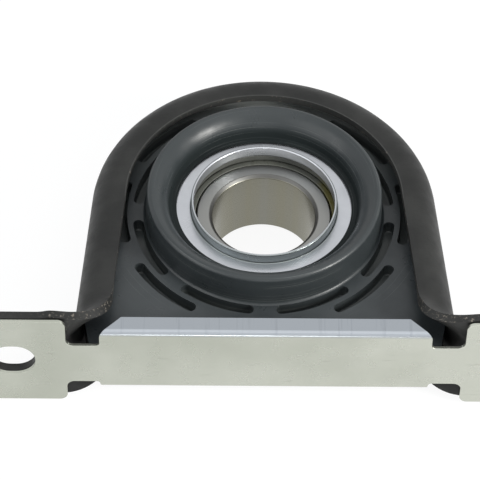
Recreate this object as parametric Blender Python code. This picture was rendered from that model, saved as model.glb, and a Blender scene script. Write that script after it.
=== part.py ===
"""Driveshaft centre bearing: a ball bearing in a rubber cushion, held by an arched bracket on a base plate.

Metres. X runs along the base, Y from the mounting face up to the top of the arch, and Z along
the bearing's axis towards the side with the open collar. The origin is the middle of the mounting
face. The assembly lies on its back, on the rear end of its inner ring.
"""
import math

import bmesh
import bpy
from mathutils import Vector

# Clearances: static pieces that touch, and pieces that roll past each other.
SEAT_GAP = 0.0003
ROLLING_GAP = 0.0004
CUT_MARGIN = 0.004

# Bearing: deep groove ball bearing with a long inner ring. Its section keeps the bore and the
# outer ring together.
OUTER_RING_RADIUS = 0.040
OUTER_RING_WALL = 0.0058
OUTER_RING_WIDTH = 0.018
BEARING_SECTION = 0.020
BEARING_FRONT = 0.004
INNER_RING_WALL = 0.0062
INNER_RING_LENGTH = 0.030
INNER_RING_BORE_CHAMFER = 0.0012
RING_CHAMFER = 0.0005
BALL_COUNT = 9
BALL_GROOVE_DEPTH = 0.00195
GROOVE_STEPS = 5
SEAL_THICKNESS = 0.001
SEAL_RECESS_DEPTH = 0.0003
SEAL_RECESS_STEP = 0.0015
SEAL_DISH = 0.0005

# Cage: two pressed ribbons riveted between the balls.
CAGE_THICKNESS = 0.0007
CAGE_HALF_WIDTH = 0.0016
POCKET_STEPS = 8
RIVET_RADIUS = 0.0007
RIVET_HEAD_RADIUS = 0.0013
RIVET_HEAD_HEIGHT = 0.0006
RIVET_SIDES = 6

# Bearing cup: drawn sleeve with a flange, a forward collar and a rolled rear lip.
CUP_WALL = 0.001
CUP_FLANGE_FRONT = 0.0081
COLLAR_CLEARANCE = 0.0012
COLLAR_FRONT = 0.0125
CUP_SHOULDER = 0.0018
CUP_REAR_LIP = 0.0025

# Rear shield and felt seal inside the cup, by their clearance round the inner ring.
SHIELD_THICKNESS = 0.001
SHIELD_CLEARANCE = 0.0018
SHIELD_COLLAR_LENGTH = 0.0035
FELT_CLEARANCE = 0.0023

# Rubber cushion: a web with blind slots, a thick rim in the bracket and a dished boss on the cup.
# The steps inward are measured from the outside of the cup.
WEB_HALF_THICKNESS = 0.005
WEB_DEPTH = 0.0176
WEB_FOOT_HEIGHT = 0.015
WEB_FOOT_OVERHANG = 0.0035
RIM_DEPTH = 0.0045
RIM_INSET = 0.0002
RIM_END_RISE = 0.0035
BOSS_WALL = 0.0043
BOSS_DRAFT = 0.0005
BOSS_ROOT_FILLET = 0.0008
BOSS_CREST_HEIGHT = 0.0186
BOSS_CREST_RADIUS = 0.0023
DISH_FOOT_STEP = 0.0045
DISH_FOOT_HEIGHT = 0.0112
DISH_BOW = 0.0004
SKIN_STEP = 0.0073
SKIN_THICKNESS = 0.0007
BOSS_REAR_HEIGHT = 0.0195
BOSS_REAR_STEP = 0.0021
BOSS_REAR_ROUND = 0.0014
SLOTS_PER_TURN = 8
INNER_SLOT_REACH = 0.0031
INNER_SLOT_SPAN = math.radians(35.0)
SLOT_ROW_PITCH = 0.0063
OUTER_SLOT_SPAN = math.radians(33.0)
CUSHION_SLOT_WIDTH = 0.0042
MEMBRANE_THICKNESS = 0.0012
MEMBRANE_SETBACK = 0.0011
CUSHION_SLOT_STEPS = 5
CUSHION_SLOT_END_STEPS = 4

# Bracket: one pressed strip, an arch of C section that unrolls into two flat feet.
AXIS_HEIGHT = 0.070
LEG_FLARE = math.radians(4.6)
BRACKET_THICKNESS = 0.0032
BRACKET_WEB_HALF_WIDTH = 0.005
BRACKET_BEND_RADIUS = 0.010
BRACKET_LIP_LENGTH = 0.0035
FOOT_HALF_DEPTH = 0.023
FOOT_LENGTH_MARGIN = 0.0006
FOOT_CORNER = 0.005
FOOT_FILLET = 0.014
UNROLL_HEIGHT = 0.0265
UNROLL_FOOT_ANGLE = math.radians(15.0)
ARCH_STEPS = 30
LEG_STEPS = 3
UNROLL_STEPS = 5
FILLET_STEPS = 8
CORNER_STEPS = 4
SECTION_STEPS = 3

# Base plate: folded zinc-plated sheet, and the bolt slots that it shares with the bracket's feet.
# The depths of its ears and notches are measured from its middle line.
PLATE_THICKNESS = 0.0012
PLATE_EAR_FRONT_DEPTH = 0.0226
PLATE_EAR_REAR_DEPTH = 0.0235
PLATE_EAR_CORNER = 0.005
PLATE_MID_HALF_DEPTH = 0.0163
PLATE_FLANGE_HEIGHT = 0.008
PLATE_FLANGE_SETBACK = 0.005
PLATE_FLANGE_END_SLOPE = 0.008
PLATE_BEND_RADIUS = 0.0024
PLATE_BEND_STEPS = 4
NOTCH_WIDTH = 0.0125
NOTCH_FRONT_DEPTH = 0.0088
NOTCH_REAR_DEPTH = 0.0125
NOTCH_CORNER = 0.003
BOLT_CLEARANCE = 0.0137
EAR_END = 0.0203
SLOT_LENGTH = 0.0172
SLOT_WIDTH = 0.016
SLOT_ARC_STEPS = 8

# Facets around the round pieces.
TURN_STEPS = 40
SMALL_TURN_STEPS = 32

# Places that follow from the sizes.
BORE_RADIUS = OUTER_RING_RADIUS - BEARING_SECTION
INNER_RING_RADIUS = BORE_RADIUS + INNER_RING_WALL
OUTER_RING_BORE_RADIUS = OUTER_RING_RADIUS - OUTER_RING_WALL
BALL_PITCH_RADIUS = (INNER_RING_RADIUS + OUTER_RING_BORE_RADIUS) / 2.0
BALL_RADIUS = (OUTER_RING_BORE_RADIUS - INNER_RING_RADIUS) / 2.0 + BALL_GROOVE_DEPTH
SEAL_RECESS_RADIUS = OUTER_RING_BORE_RADIUS + SEAL_RECESS_STEP
BALL_PLANE = BEARING_FRONT - OUTER_RING_WIDTH / 2.0
OUTER_RING_REAR = BEARING_FRONT - OUTER_RING_WIDTH
CUP_INNER_RADIUS = OUTER_RING_RADIUS + SEAT_GAP
CUP_OUTER_RADIUS = CUP_INNER_RADIUS + CUP_WALL
COLLAR_INNER_RADIUS = INNER_RING_RADIUS + COLLAR_CLEARANCE
SHIELD_INNER_RADIUS = INNER_RING_RADIUS + SHIELD_CLEARANCE
FELT_INNER_RADIUS = INNER_RING_RADIUS + FELT_CLEARANCE
SHIELD_FRONT = OUTER_RING_REAR - SEAT_GAP
SHIELD_REAR = SHIELD_FRONT - SHIELD_THICKNESS
CUP_REAR = SHIELD_REAR - SEAT_GAP - CUP_WALL
BOSS_ROOT_RADIUS = CUP_OUTER_RADIUS + SEAT_GAP + BOSS_WALL
DISH_FOOT_RADIUS = CUP_OUTER_RADIUS - DISH_FOOT_STEP
SKIN_INNER_RADIUS = CUP_OUTER_RADIUS - SKIN_STEP
BOSS_REAR_INNER_RADIUS = CUP_OUTER_RADIUS - BOSS_REAR_STEP
INNER_SLOT_RADIUS = BOSS_ROOT_RADIUS + INNER_SLOT_REACH
OUTER_SLOT_RADIUS = INNER_SLOT_RADIUS + SLOT_ROW_PITCH
CUSHION_INSET = BRACKET_THICKNESS + SEAT_GAP
ARCH_RADIUS = BOSS_ROOT_RADIUS + WEB_DEPTH + CUSHION_INSET
FOOT_BOTTOM = PLATE_THICKNESS + SEAT_GAP
FOOT_TOP = FOOT_BOTTOM + BRACKET_THICKNESS
RIM_END_HEIGHT = UNROLL_HEIGHT + RIM_END_RISE
PLATE_FLANGE_HALF_LENGTH = ARCH_RADIUS - PLATE_FLANGE_SETBACK
WEB_FOOT_HALF_LENGTH = PLATE_FLANGE_HALF_LENGTH + WEB_FOOT_OVERHANG
BOLT_HALF_SPACING = ARCH_RADIUS + FOOT_FILLET + BOLT_CLEARANCE
PLATE_HALF_LENGTH = BOLT_HALF_SPACING + EAR_END
AXIS_POINT = (0.0, AXIS_HEIGHT, 0.0)


def clear_scene():
    """Remove every object of the file that the script runs in."""
    for item in list(bpy.data.objects):
        bpy.data.objects.remove(item, do_unlink=True)


def finish(name, colour, roughness, metallic):
    """Return a Principled material with the given colour, roughness and metallic value."""
    material = bpy.data.materials.new(name)
    material.use_nodes = True
    shader = material.node_tree.nodes["Principled BSDF"]
    shader.inputs["Base Color"].default_value = (*colour, 1.0)
    shader.inputs["Roughness"].default_value = roughness
    shader.inputs["Metallic"].default_value = metallic
    return material


def add_object(name, bm, material, location=(0.0, 0.0, 0.0), parent=None, sharp=30.0):
    """Turn a bmesh into a linked object with smooth faces and sharp edges past an angle."""
    bmesh.ops.recalc_face_normals(bm, faces=bm.faces[:])
    mesh = bpy.data.meshes.new(name)
    bm.to_mesh(mesh)
    bm.free()
    mesh.shade_smooth()
    mesh.set_sharp_from_angle(angle=math.radians(sharp))
    mesh.materials.append(material)
    item = bpy.data.objects.new(name, mesh)
    item.location = location
    item.parent = parent
    bpy.context.collection.objects.link(item)
    return item


def add_cutter(name, bm, location=(0.0, 0.0, 0.0)):
    """Turn a bmesh into a wire-only cutter that never renders."""
    bmesh.ops.recalc_face_normals(bm, faces=bm.faces[:])
    mesh = bpy.data.meshes.new(name)
    bm.to_mesh(mesh)
    bm.free()
    item = bpy.data.objects.new(name, mesh)
    item.location = location
    item.hide_render = True
    item.display_type = 'WIRE'
    bpy.context.collection.objects.link(item)
    return item


def combine(item, operand, operation):
    """Add an exact Boolean modifier that joins or cuts the item with the operand."""
    modifier = item.modifiers.new(operand.name, 'BOOLEAN')
    modifier.operation = operation
    modifier.solver = 'EXACT'
    modifier.object = operand


def arc_points(centre_x, centre_y, radius, start, end, steps):
    """Return points along an arc, both ends included."""
    points = []
    for index in range(steps + 1):
        angle = start + (end - start) * index / steps
        points.append((centre_x + radius * math.cos(angle), centre_y + radius * math.sin(angle)))
    return points


def bowed_points(start, end, rise, steps):
    """Return the inner points of a shallow bow that rises to the left of the line start-end."""
    delta_x = end[0] - start[0]
    delta_y = end[1] - start[1]
    length = math.hypot(delta_x, delta_y)
    points = []
    for index in range(1, steps):
        share = index / steps
        lift = 4.0 * rise * share * (1.0 - share)
        points.append((start[0] + delta_x * share - delta_y / length * lift,
                       start[1] + delta_y * share + delta_x / length * lift))
    return points


def rounded_outline(corners, steps):
    """Return a closed outline whose corners (x, y, radius) are rounded by arcs."""
    outline = []
    count = len(corners)
    for index, (x, y, radius) in enumerate(corners):
        if radius <= 0.0:
            outline.append((x, y))
            continue
        corner = Vector((x, y))
        before = (Vector(corners[index - 1][:2]) - corner).normalized()
        after = (Vector(corners[(index + 1) % count][:2]) - corner).normalized()
        half = before.angle(after) / 2.0
        reach = radius / math.tan(half)
        centre = corner + (before + after).normalized() * (radius / math.sin(half))
        first = corner + before * reach - centre
        last = corner + after * reach - centre
        turn = first.angle_signed(last)
        start = math.atan2(first.y, first.x)
        outline.extend(arc_points(centre.x, centre.y, radius, start, start - turn, steps))
    return outline


def turned(outline, steps):
    """Spin a closed outline of (radius, height) points about the Z axis."""
    bm = bmesh.new()
    verts = [bm.verts.new((radius, 0.0, height)) for radius, height in outline]
    edges = [bm.edges.new((verts[index - 1], verts[index])) for index in range(len(verts))]
    bmesh.ops.spin(bm, geom=verts + edges, cent=(0.0, 0.0, 0.0), axis=(0.0, 0.0, 1.0),
                   angle=math.tau, steps=steps, use_merge=True)
    return bm


def lofted(rings):
    """Join rings of equal point counts into one tube and close both of its ends."""
    bm = bmesh.new()
    loops = [[bm.verts.new(point) for point in ring] for ring in rings]
    for near, far in zip(loops, loops[1:]):
        for index in range(len(near)):
            bm.faces.new((near[index - 1], near[index], far[index], far[index - 1]))
    bm.faces.new(loops[0])
    bm.faces.new(loops[-1])
    return bm


def extruded(outline, to_world, depth):
    """Extrude a flat outline, placed by to_world(a, b), along the depth vector."""
    bm = bmesh.new()
    face = bm.faces.new([bm.verts.new(to_world(a, b)) for a, b in outline])
    grown = bmesh.ops.extrude_face_region(bm, geom=[face])
    moved = [item for item in grown["geom"] if isinstance(item, bmesh.types.BMVert)]
    bmesh.ops.translate(bm, verts=moved, vec=depth)
    return bm


def bracket_stations(inset, lowest_leg_point=None):
    """Return the strip's stations on the right half: place, outward normal and unroll share.

    The stations run from the top of the arch down the leg and out along the foot. The share is
    0 where the strip is folded to its full C section and 1 where it is flat. With a lowest leg
    point the walk stops there, which gives the path of what lies inside the arch.
    """
    radius = ARCH_RADIUS - inset
    stations = []
    for index in range(ARCH_STEPS // 2 + 1):
        angle = math.pi / 2.0 - (math.pi / 2.0 - LEG_FLARE) * index / (ARCH_STEPS // 2)
        normal = Vector((math.cos(angle), math.sin(angle)))
        stations.append((Vector((0.0, AXIS_HEIGHT)) + normal * radius, normal, 0.0))
    leg_normal = Vector((math.cos(LEG_FLARE), math.sin(LEG_FLARE)))
    leg_top = stations[-1][0]
    leg_way = Vector((math.sin(LEG_FLARE), -math.cos(LEG_FLARE)))
    if lowest_leg_point is not None:
        run = (leg_top.y - lowest_leg_point) / math.cos(LEG_FLARE)
        stations.append((leg_top + leg_way * run, leg_normal, 0.0))
        return stations
    fillet_turn = math.pi / 2.0 - LEG_FLARE
    fillet_top = FOOT_TOP + FOOT_FILLET * (1.0 - math.sin(LEG_FLARE))
    unroll_run = (leg_top.y - UNROLL_HEIGHT) / math.cos(LEG_FLARE)
    leg_run = (leg_top.y - fillet_top) / math.cos(LEG_FLARE)
    unroll_length = (leg_run - unroll_run) + FOOT_FILLET * (fillet_turn - UNROLL_FOOT_ANGLE)
    for index in range(1, LEG_STEPS + 1):
        run = unroll_run * index / LEG_STEPS
        stations.append((leg_top + leg_way * run, leg_normal, 0.0))
    for index in range(1, UNROLL_STEPS + 1):
        run = (leg_run - unroll_run) * index / UNROLL_STEPS
        stations.append((leg_top + leg_way * (unroll_run + run), leg_normal, run / unroll_length))
    centre = leg_top + leg_way * leg_run + leg_normal * FOOT_FILLET
    for index in range(1, FILLET_STEPS + 1):
        turn = fillet_turn * index / FILLET_STEPS
        angle = math.pi + LEG_FLARE + turn
        spoke = Vector((math.cos(angle), math.sin(angle)))
        share = (leg_run - unroll_run + FOOT_FILLET * turn) / unroll_length
        stations.append((centre + spoke * FOOT_FILLET, -spoke, min(1.0, share)))
    return stations


def foot_stations(start):
    """Return (place, half depth) pairs along the foot from its fillet to its rounded end."""
    end = PLATE_HALF_LENGTH - FOOT_LENGTH_MARGIN
    stations = []
    for index in range(CORNER_STEPS + 1):
        angle = math.pi / 2.0 * index / CORNER_STEPS
        x = end - FOOT_CORNER + FOOT_CORNER * math.sin(angle)
        half_depth = FOOT_HALF_DEPTH - FOOT_CORNER + FOOT_CORNER * math.cos(angle)
        stations.append((Vector((x, start.y)), half_depth))
    return stations


def strip_section(place, normal, share, half_depth):
    """Return one closed section of the strip in 3D at a station.

    The section is the outer face from rear to front, then the inner face back. Its bend angle
    falls smoothly from a right angle to nothing as the share rises.
    """
    bend = math.pi / 2.0 * (1.0 - share * share * (3.0 - 2.0 * share))
    middle_radius = BRACKET_BEND_RADIUS - BRACKET_THICKNESS / 2.0
    folded = BRACKET_WEB_HALF_WIDTH + middle_radius * math.pi / 2.0 + BRACKET_LIP_LENGTH
    reach = folded + (half_depth - folded) * share
    lip = reach - BRACKET_WEB_HALF_WIDTH - middle_radius * bend
    faces = []
    for depth in (0.0, BRACKET_THICKNESS):
        radius = BRACKET_BEND_RADIUS - depth
        half = []
        for index in range(SECTION_STEPS + 1):
            angle = bend * index / SECTION_STEPS
            half.append((BRACKET_BEND_RADIUS - radius * math.cos(angle),
                         BRACKET_WEB_HALF_WIDTH + radius * math.sin(angle)))
        last = half[-1]
        half.append((last[0] + lip * math.sin(bend), last[1] + lip * math.cos(bend)))
        faces.append(half)
    outer = [(inward, -z) for inward, z in reversed(faces[0])] + faces[0]
    inner = list(reversed(faces[1])) + [(inward, -z) for inward, z in faces[1]]
    return [(place.x - normal.x * inward, place.y - normal.y * inward, z)
            for inward, z in outer + inner]


def mirrored_ring(ring):
    """Return a ring of 3D points mirrored to the other side of the arch."""
    return [(-x, y, z) for x, y, z in ring]


def both_sides(rings):
    """Return rings from the left end over the top to the right end, given the right half."""
    return [mirrored_ring(ring) for ring in reversed(rings[1:])] + rings


def stadium(length, width, steps):
    """Return the outline of a round-ended slot along its first axis."""
    radius = width / 2.0
    reach = length / 2.0 - radius
    right = arc_points(reach, 0.0, radius, -math.pi / 2.0, math.pi / 2.0, steps)
    left = arc_points(-reach, 0.0, radius, math.pi / 2.0, math.pi * 1.5, steps)
    return right + left


def build_bolt_cutters():
    """Return the two cutters of the bolt slots, through the plate and the feet."""
    outline = stadium(SLOT_LENGTH, SLOT_WIDTH, SLOT_ARC_STEPS)
    cutters = []
    for side, name in ((-1.0, "bolt_slot_cutter_left"), (1.0, "bolt_slot_cutter_right")):
        bm = extruded(outline, lambda a, b: (a, 0.0, b), (0.0, FOOT_TOP + 2.0 * CUT_MARGIN, 0.0))
        place = (side * BOLT_HALF_SPACING, -CUT_MARGIN, 0.0)
        cutters.append(add_cutter(name, bm, place))
    return cutters


def build_bracket(cutters):
    """Loft the pressed strip over the arch and down into its feet, then cut the bolt slots."""
    rings = []
    stations = bracket_stations(0.0)
    for place, normal, share in stations:
        rings.append(strip_section(place, normal, share, FOOT_HALF_DEPTH))
    for place, half_depth in foot_stations(stations[-1][0]):
        rings.append(strip_section(place, Vector((0.0, 1.0)), 1.0, half_depth))
    material = finish("black_coated_steel", (0.035, 0.034, 0.032), 0.42, 0.0)
    bracket = add_object("bracket", lofted(both_sides(rings)), material)
    for cutter in cutters:
        combine(bracket, cutter, 'DIFFERENCE')
    return bracket


def notched_quarter(facing, notch_depth, ear_depth):
    """Return the plate's corners on the right, from its flange out to its end, facing front or rear."""
    notch_end = PLATE_FLANGE_HALF_LENGTH + NOTCH_WIDTH
    return [
        (PLATE_FLANGE_HALF_LENGTH, facing * (PLATE_MID_HALF_DEPTH - PLATE_BEND_RADIUS), 0.0),
        (PLATE_FLANGE_HALF_LENGTH, facing * notch_depth, NOTCH_CORNER / 2.0),
        (notch_end, facing * notch_depth, NOTCH_CORNER),
        (notch_end, facing * ear_depth, NOTCH_CORNER),
        (PLATE_HALF_LENGTH, facing * ear_depth, PLATE_EAR_CORNER),
    ]


def plate_outline():
    """Return the flat outline of the base plate in (x, z), with its four notches."""
    right = notched_quarter(1.0, NOTCH_FRONT_DEPTH, PLATE_EAR_FRONT_DEPTH)
    right += reversed(notched_quarter(-1.0, NOTCH_REAR_DEPTH, PLATE_EAR_REAR_DEPTH))
    left = [(-x, z, radius) for x, z, radius in reversed(right)]
    return rounded_outline(right + left, CORNER_STEPS)


def grow_face(bm, face, move):
    """Extrude one face and place its new points with move(point); return the new face."""
    grown = bmesh.ops.extrude_face_region(bm, geom=[face])
    fresh = [item for item in grown["geom"] if isinstance(item, bmesh.types.BMFace)][0]
    bmesh.ops.delete(bm, geom=[face], context='FACES_ONLY')
    for vert in fresh.verts:
        vert.co = move(vert.co.copy())
    return fresh


def fold_flange(bm, side):
    """Bend the sheet's long edge up about a lengthwise line and raise it to its height."""
    root = PLATE_MID_HALF_DEPTH - PLATE_BEND_RADIUS
    edge_face = next(face for face in bm.faces
                     if len(face.verts) == 4
                     and abs(face.calc_center_median().z - side * root) < SEAT_GAP
                     and abs(face.calc_center_median().x) < SEAT_GAP)
    turn = math.pi / 2.0 / PLATE_BEND_STEPS

    def bend(point):
        up = point.y - PLATE_BEND_RADIUS
        out = side * point.z - root
        new_up = up * math.cos(turn) + out * math.sin(turn)
        new_out = out * math.cos(turn) - up * math.sin(turn)
        return Vector((point.x, new_up + PLATE_BEND_RADIUS, side * (new_out + root)))

    def raise_edge(point):
        shift = PLATE_FLANGE_END_SLOPE * (1.0 if point.x > 0.0 else -1.0)
        return Vector((point.x - shift, PLATE_FLANGE_HEIGHT, point.z))

    face = edge_face
    for _ in range(PLATE_BEND_STEPS):
        face = grow_face(bm, face, bend)
    grow_face(bm, face, raise_edge)


def build_base_plate(cutters):
    """Fold the base plate from its flat outline and cut the bolt slots."""
    bm = extruded(plate_outline(), lambda a, b: (a, 0.0, b), (0.0, PLATE_THICKNESS, 0.0))
    bmesh.ops.recalc_face_normals(bm, faces=bm.faces[:])
    for side in (1.0, -1.0):
        fold_flange(bm, side)
    material = finish("zinc_plated_sheet", (0.52, 0.55, 0.52), 0.38, 0.85)
    plate = add_object("base_plate", bm, material)
    for cutter in cutters:
        combine(plate, cutter, 'DIFFERENCE')
    return plate


def cushion_web_outline():
    """Return the outline of the cushion's web: an arch on straight legs, cut off at the plate."""
    stations = bracket_stations(CUSHION_INSET, WEB_FOOT_HEIGHT)
    right = [(place.x, place.y) for place, _, _ in stations]
    right.append((WEB_FOOT_HALF_LENGTH, FOOT_BOTTOM))
    left = [(-x, y) for x, y in reversed(right[1:])]
    return left + right


def boss_outline():
    """Return the turned outline of the cushion's boss, from the dish round to the rear."""
    top_radius = BOSS_ROOT_RADIUS - BOSS_DRAFT
    crest_x = top_radius - BOSS_CREST_RADIUS
    crest_z = BOSS_CREST_HEIGHT - BOSS_CREST_RADIUS
    skin_front = CUP_FLANGE_FRONT + SEAT_GAP
    cup_side = CUP_OUTER_RADIUS + SEAT_GAP
    rear_seat = CUP_REAR - SEAT_GAP
    crest = arc_points(crest_x, crest_z, BOSS_CREST_RADIUS, math.radians(130.0), 0.0, 4)
    dish_foot = (DISH_FOOT_RADIUS, DISH_FOOT_HEIGHT)
    groove = (DISH_FOOT_RADIUS - SKIN_THICKNESS, skin_front + SKIN_THICKNESS)
    outline = [(SKIN_INNER_RADIUS, skin_front), (SKIN_INNER_RADIUS, skin_front + SKIN_THICKNESS)]
    outline += [groove, dish_foot]
    outline += bowed_points(dish_foot, crest[0], DISH_BOW, 2)
    outline += crest
    outline += [(BOSS_ROOT_RADIUS, WEB_HALF_THICKNESS + BOSS_ROOT_FILLET)]
    outline += [(BOSS_ROOT_RADIUS + 1.5 * BOSS_ROOT_FILLET, WEB_HALF_THICKNESS - 0.5 * BOSS_ROOT_FILLET)]
    outline += [(BOSS_ROOT_RADIUS + 1.5 * BOSS_ROOT_FILLET, 0.5 * BOSS_ROOT_FILLET - WEB_HALF_THICKNESS)]
    outline += [(BOSS_ROOT_RADIUS, -WEB_HALF_THICKNESS - BOSS_ROOT_FILLET)]
    rear_z = BOSS_REAR_ROUND - BOSS_REAR_HEIGHT
    outline += arc_points(top_radius - BOSS_REAR_ROUND, rear_z, BOSS_REAR_ROUND, 0.0, -math.pi / 2.0, 2)
    outline += arc_points(BOSS_REAR_INNER_RADIUS + BOSS_REAR_ROUND, rear_z, BOSS_REAR_ROUND,
                          -math.pi / 2.0, -math.pi, 2)
    outline += [(BOSS_REAR_INNER_RADIUS, rear_seat), (cup_side, rear_seat)]
    outline += arc_points(CUP_OUTER_RADIUS - CUP_SHOULDER, CUP_FLANGE_FRONT - CUP_SHOULDER,
                          CUP_SHOULDER + SEAT_GAP, 0.0, math.pi / 2.0, 2)
    return outline


def rim_section(place, normal):
    """Return the rim's closed section in 3D: it fills the channel of the bracket."""
    round_radius = BRACKET_BEND_RADIUS - CUSHION_INSET
    sweep = math.acos(1.0 - RIM_DEPTH / round_radius)
    half = []
    for index in range(SECTION_STEPS + 1):
        angle = sweep * index / SECTION_STEPS
        half.append((round_radius * (1.0 - math.cos(angle)),
                     BRACKET_WEB_HALF_WIDTH + round_radius * math.sin(angle) - RIM_INSET))
    section = [(inward, -z) for inward, z in reversed(half)] + half
    return [(place.x - normal.x * (inward + RIM_INSET),
             place.y - normal.y * (inward + RIM_INSET), z) for inward, z in section]


def cushion_slot(bm, radius, span, centre_angle):
    """Add one round-ended curved slot to the cutter, from both faces of the web to its membrane."""
    half_width = CUSHION_SLOT_WIDTH / 2.0
    reach = span / 2.0 - half_width / radius
    start = centre_angle - reach
    end = centre_angle + reach
    outline = arc_points(0.0, 0.0, radius + half_width, start, end, CUSHION_SLOT_STEPS)
    end_centre = (radius * math.cos(end), radius * math.sin(end))
    outline += arc_points(*end_centre, half_width, end, end + math.pi, CUSHION_SLOT_END_STEPS)[1:-1]
    outline += arc_points(0.0, 0.0, radius - half_width, end, start, CUSHION_SLOT_STEPS)
    start_centre = (radius * math.cos(start), radius * math.sin(start))
    outline += arc_points(*start_centre, half_width, start + math.pi, start + math.tau,
                          CUSHION_SLOT_END_STEPS)[1:-1]
    outside = BRACKET_WEB_HALF_WIDTH + BRACKET_BEND_RADIUS
    for facing in (1.0, -1.0):
        floor = facing * MEMBRANE_THICKNESS / 2.0 - MEMBRANE_SETBACK
        face = bm.faces.new([bm.verts.new((x, y, floor)) for x, y in outline])
        grown = bmesh.ops.extrude_face_region(bm, geom=[face])
        moved = [item for item in grown["geom"] if isinstance(item, bmesh.types.BMVert)]
        bmesh.ops.translate(bm, verts=moved, vec=(0.0, 0.0, facing * outside - floor))


def build_cushion_slots():
    """Return the cutter of both rows of slots; the outer row has none below the axis."""
    bm = bmesh.new()
    pitch = math.tau / SLOTS_PER_TURN
    for index in range(SLOTS_PER_TURN):
        cushion_slot(bm, INNER_SLOT_RADIUS, INNER_SLOT_SPAN, pitch * (index + 0.5))
        angle = pitch * index
        if AXIS_HEIGHT + OUTER_SLOT_RADIUS * math.sin(angle) > AXIS_HEIGHT - INNER_SLOT_RADIUS:
            cushion_slot(bm, OUTER_SLOT_RADIUS, OUTER_SLOT_SPAN, angle)
    return add_cutter("cushion_slot_cutter", bm, AXIS_POINT)


def build_cushion():
    """Join the cushion's web, rim and boss, and cut its bearing seat and blind slots."""
    web = extruded(cushion_web_outline(), lambda a, b: (a, b, -WEB_HALF_THICKNESS),
                   (0.0, 0.0, 2.0 * WEB_HALF_THICKNESS))
    material = finish("moulded_rubber", (0.045, 0.052, 0.053), 0.55, 0.0)
    cushion = add_object("rubber_cushion", web, material)
    seat_radius = (CUP_OUTER_RADIUS + SEAT_GAP + BOSS_ROOT_RADIUS) / 2.0
    circle = arc_points(0.0, 0.0, seat_radius, 0.0, math.tau * (1.0 - 1.0 / TURN_STEPS), TURN_STEPS - 1)
    reach = WEB_HALF_THICKNESS + CUT_MARGIN
    seat = extruded(circle, lambda a, b: (a, b, -reach), (0.0, 0.0, 2.0 * reach))
    combine(cushion, add_cutter("cushion_seat_cutter", seat, AXIS_POINT), 'DIFFERENCE')
    boss = add_cutter("cushion_boss_form", turned(boss_outline(), TURN_STEPS), AXIS_POINT)
    combine(cushion, boss, 'UNION')
    stations = bracket_stations(CUSHION_INSET, RIM_END_HEIGHT)
    rings = both_sides([rim_section(place, normal) for place, normal, _ in stations])
    combine(cushion, add_cutter("cushion_rim_form", lofted(rings)), 'UNION')
    combine(cushion, build_cushion_slots(), 'DIFFERENCE')
    return cushion


def build_bearing_cup():
    """Turn the drawn sleeve: collar, flange, shoulder, wall and rolled rear lip."""
    flange_back = CUP_FLANGE_FRONT - CUP_WALL
    collar_outer = COLLAR_INNER_RADIUS + CUP_WALL
    outer_round = CUP_SHOULDER
    outline = [(COLLAR_INNER_RADIUS, COLLAR_FRONT), (collar_outer, COLLAR_FRONT)]
    outline += arc_points(collar_outer + CUP_WALL / 2.0, CUP_FLANGE_FRONT + CUP_WALL / 2.0,
                          CUP_WALL / 2.0, math.pi, math.pi * 1.5, 2)
    outline += arc_points(CUP_OUTER_RADIUS - outer_round, CUP_FLANGE_FRONT - outer_round,
                          outer_round, math.pi / 2.0, 0.0, 3)
    outline += arc_points(CUP_OUTER_RADIUS - CUP_WALL, CUP_REAR + CUP_WALL, CUP_WALL,
                          0.0, -math.pi / 2.0, 2)
    lip_radius = CUP_INNER_RADIUS - CUP_REAR_LIP
    outline += [(lip_radius, CUP_REAR), (lip_radius, CUP_REAR + CUP_WALL)]
    outline += [(CUP_INNER_RADIUS, CUP_REAR + CUP_WALL)]
    inner_round = outer_round - CUP_WALL
    outline += arc_points(CUP_INNER_RADIUS - inner_round, flange_back - inner_round,
                          inner_round, 0.0, math.pi / 2.0, 2)
    outline += arc_points(COLLAR_INNER_RADIUS + CUP_WALL, flange_back + CUP_WALL, CUP_WALL,
                          math.pi * 1.5, math.pi, 2)
    material = finish("bright_zinc", (0.62, 0.65, 0.70), 0.25, 0.95)
    return add_object("bearing_cup", turned(outline, TURN_STEPS), material, AXIS_POINT)


def build_felt_seal():
    """Turn the felt ring between the outer ring and the cup's flange."""
    rear = BEARING_FRONT + SEAT_GAP
    front = CUP_FLANGE_FRONT - CUP_WALL - SEAT_GAP
    outer = CUP_INNER_RADIUS - (CUP_SHOULDER - CUP_WALL) - SEAT_GAP
    outline = [(FELT_INNER_RADIUS, rear), (outer, rear), (outer, front), (FELT_INNER_RADIUS, front)]
    material = finish("oiled_felt", (0.10, 0.09, 0.05), 0.95, 0.0)
    return add_object("felt_seal", turned(outline, SMALL_TURN_STEPS), material, AXIS_POINT)


def build_rear_shield():
    """Turn the pressed shield that closes the rear of the cup, with its rearward collar."""
    outer = CUP_INNER_RADIUS - SEAT_GAP
    collar_outer = SHIELD_INNER_RADIUS + SHIELD_THICKNESS
    collar_rear = SHIELD_REAR - SHIELD_COLLAR_LENGTH
    outline = [(outer, SHIELD_FRONT)]
    outline += arc_points(collar_outer, SHIELD_FRONT - SHIELD_THICKNESS, SHIELD_THICKNESS,
                          math.pi / 2.0, math.pi, 3)
    outline += [(SHIELD_INNER_RADIUS, collar_rear), (collar_outer, collar_rear)]
    outline += [(collar_outer, SHIELD_REAR), (outer, SHIELD_REAR)]
    material = finish("bright_zinc_shield", (0.60, 0.63, 0.68), 0.28, 0.95)
    return add_object("rear_shield", turned(outline, SMALL_TURN_STEPS), material, AXIS_POINT)


def groove_points(ring_radius, toward_axis):
    """Return the ball groove as (radius, height) points across a ring's rolling face."""
    radius = BALL_RADIUS + ROLLING_GAP
    half = math.acos(abs(ring_radius - BALL_PITCH_RADIUS) / radius)
    middle = math.pi if toward_axis else 0.0
    return arc_points(BALL_PITCH_RADIUS, BALL_PLANE, radius, middle - half, middle + half, GROOVE_STEPS)


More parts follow.
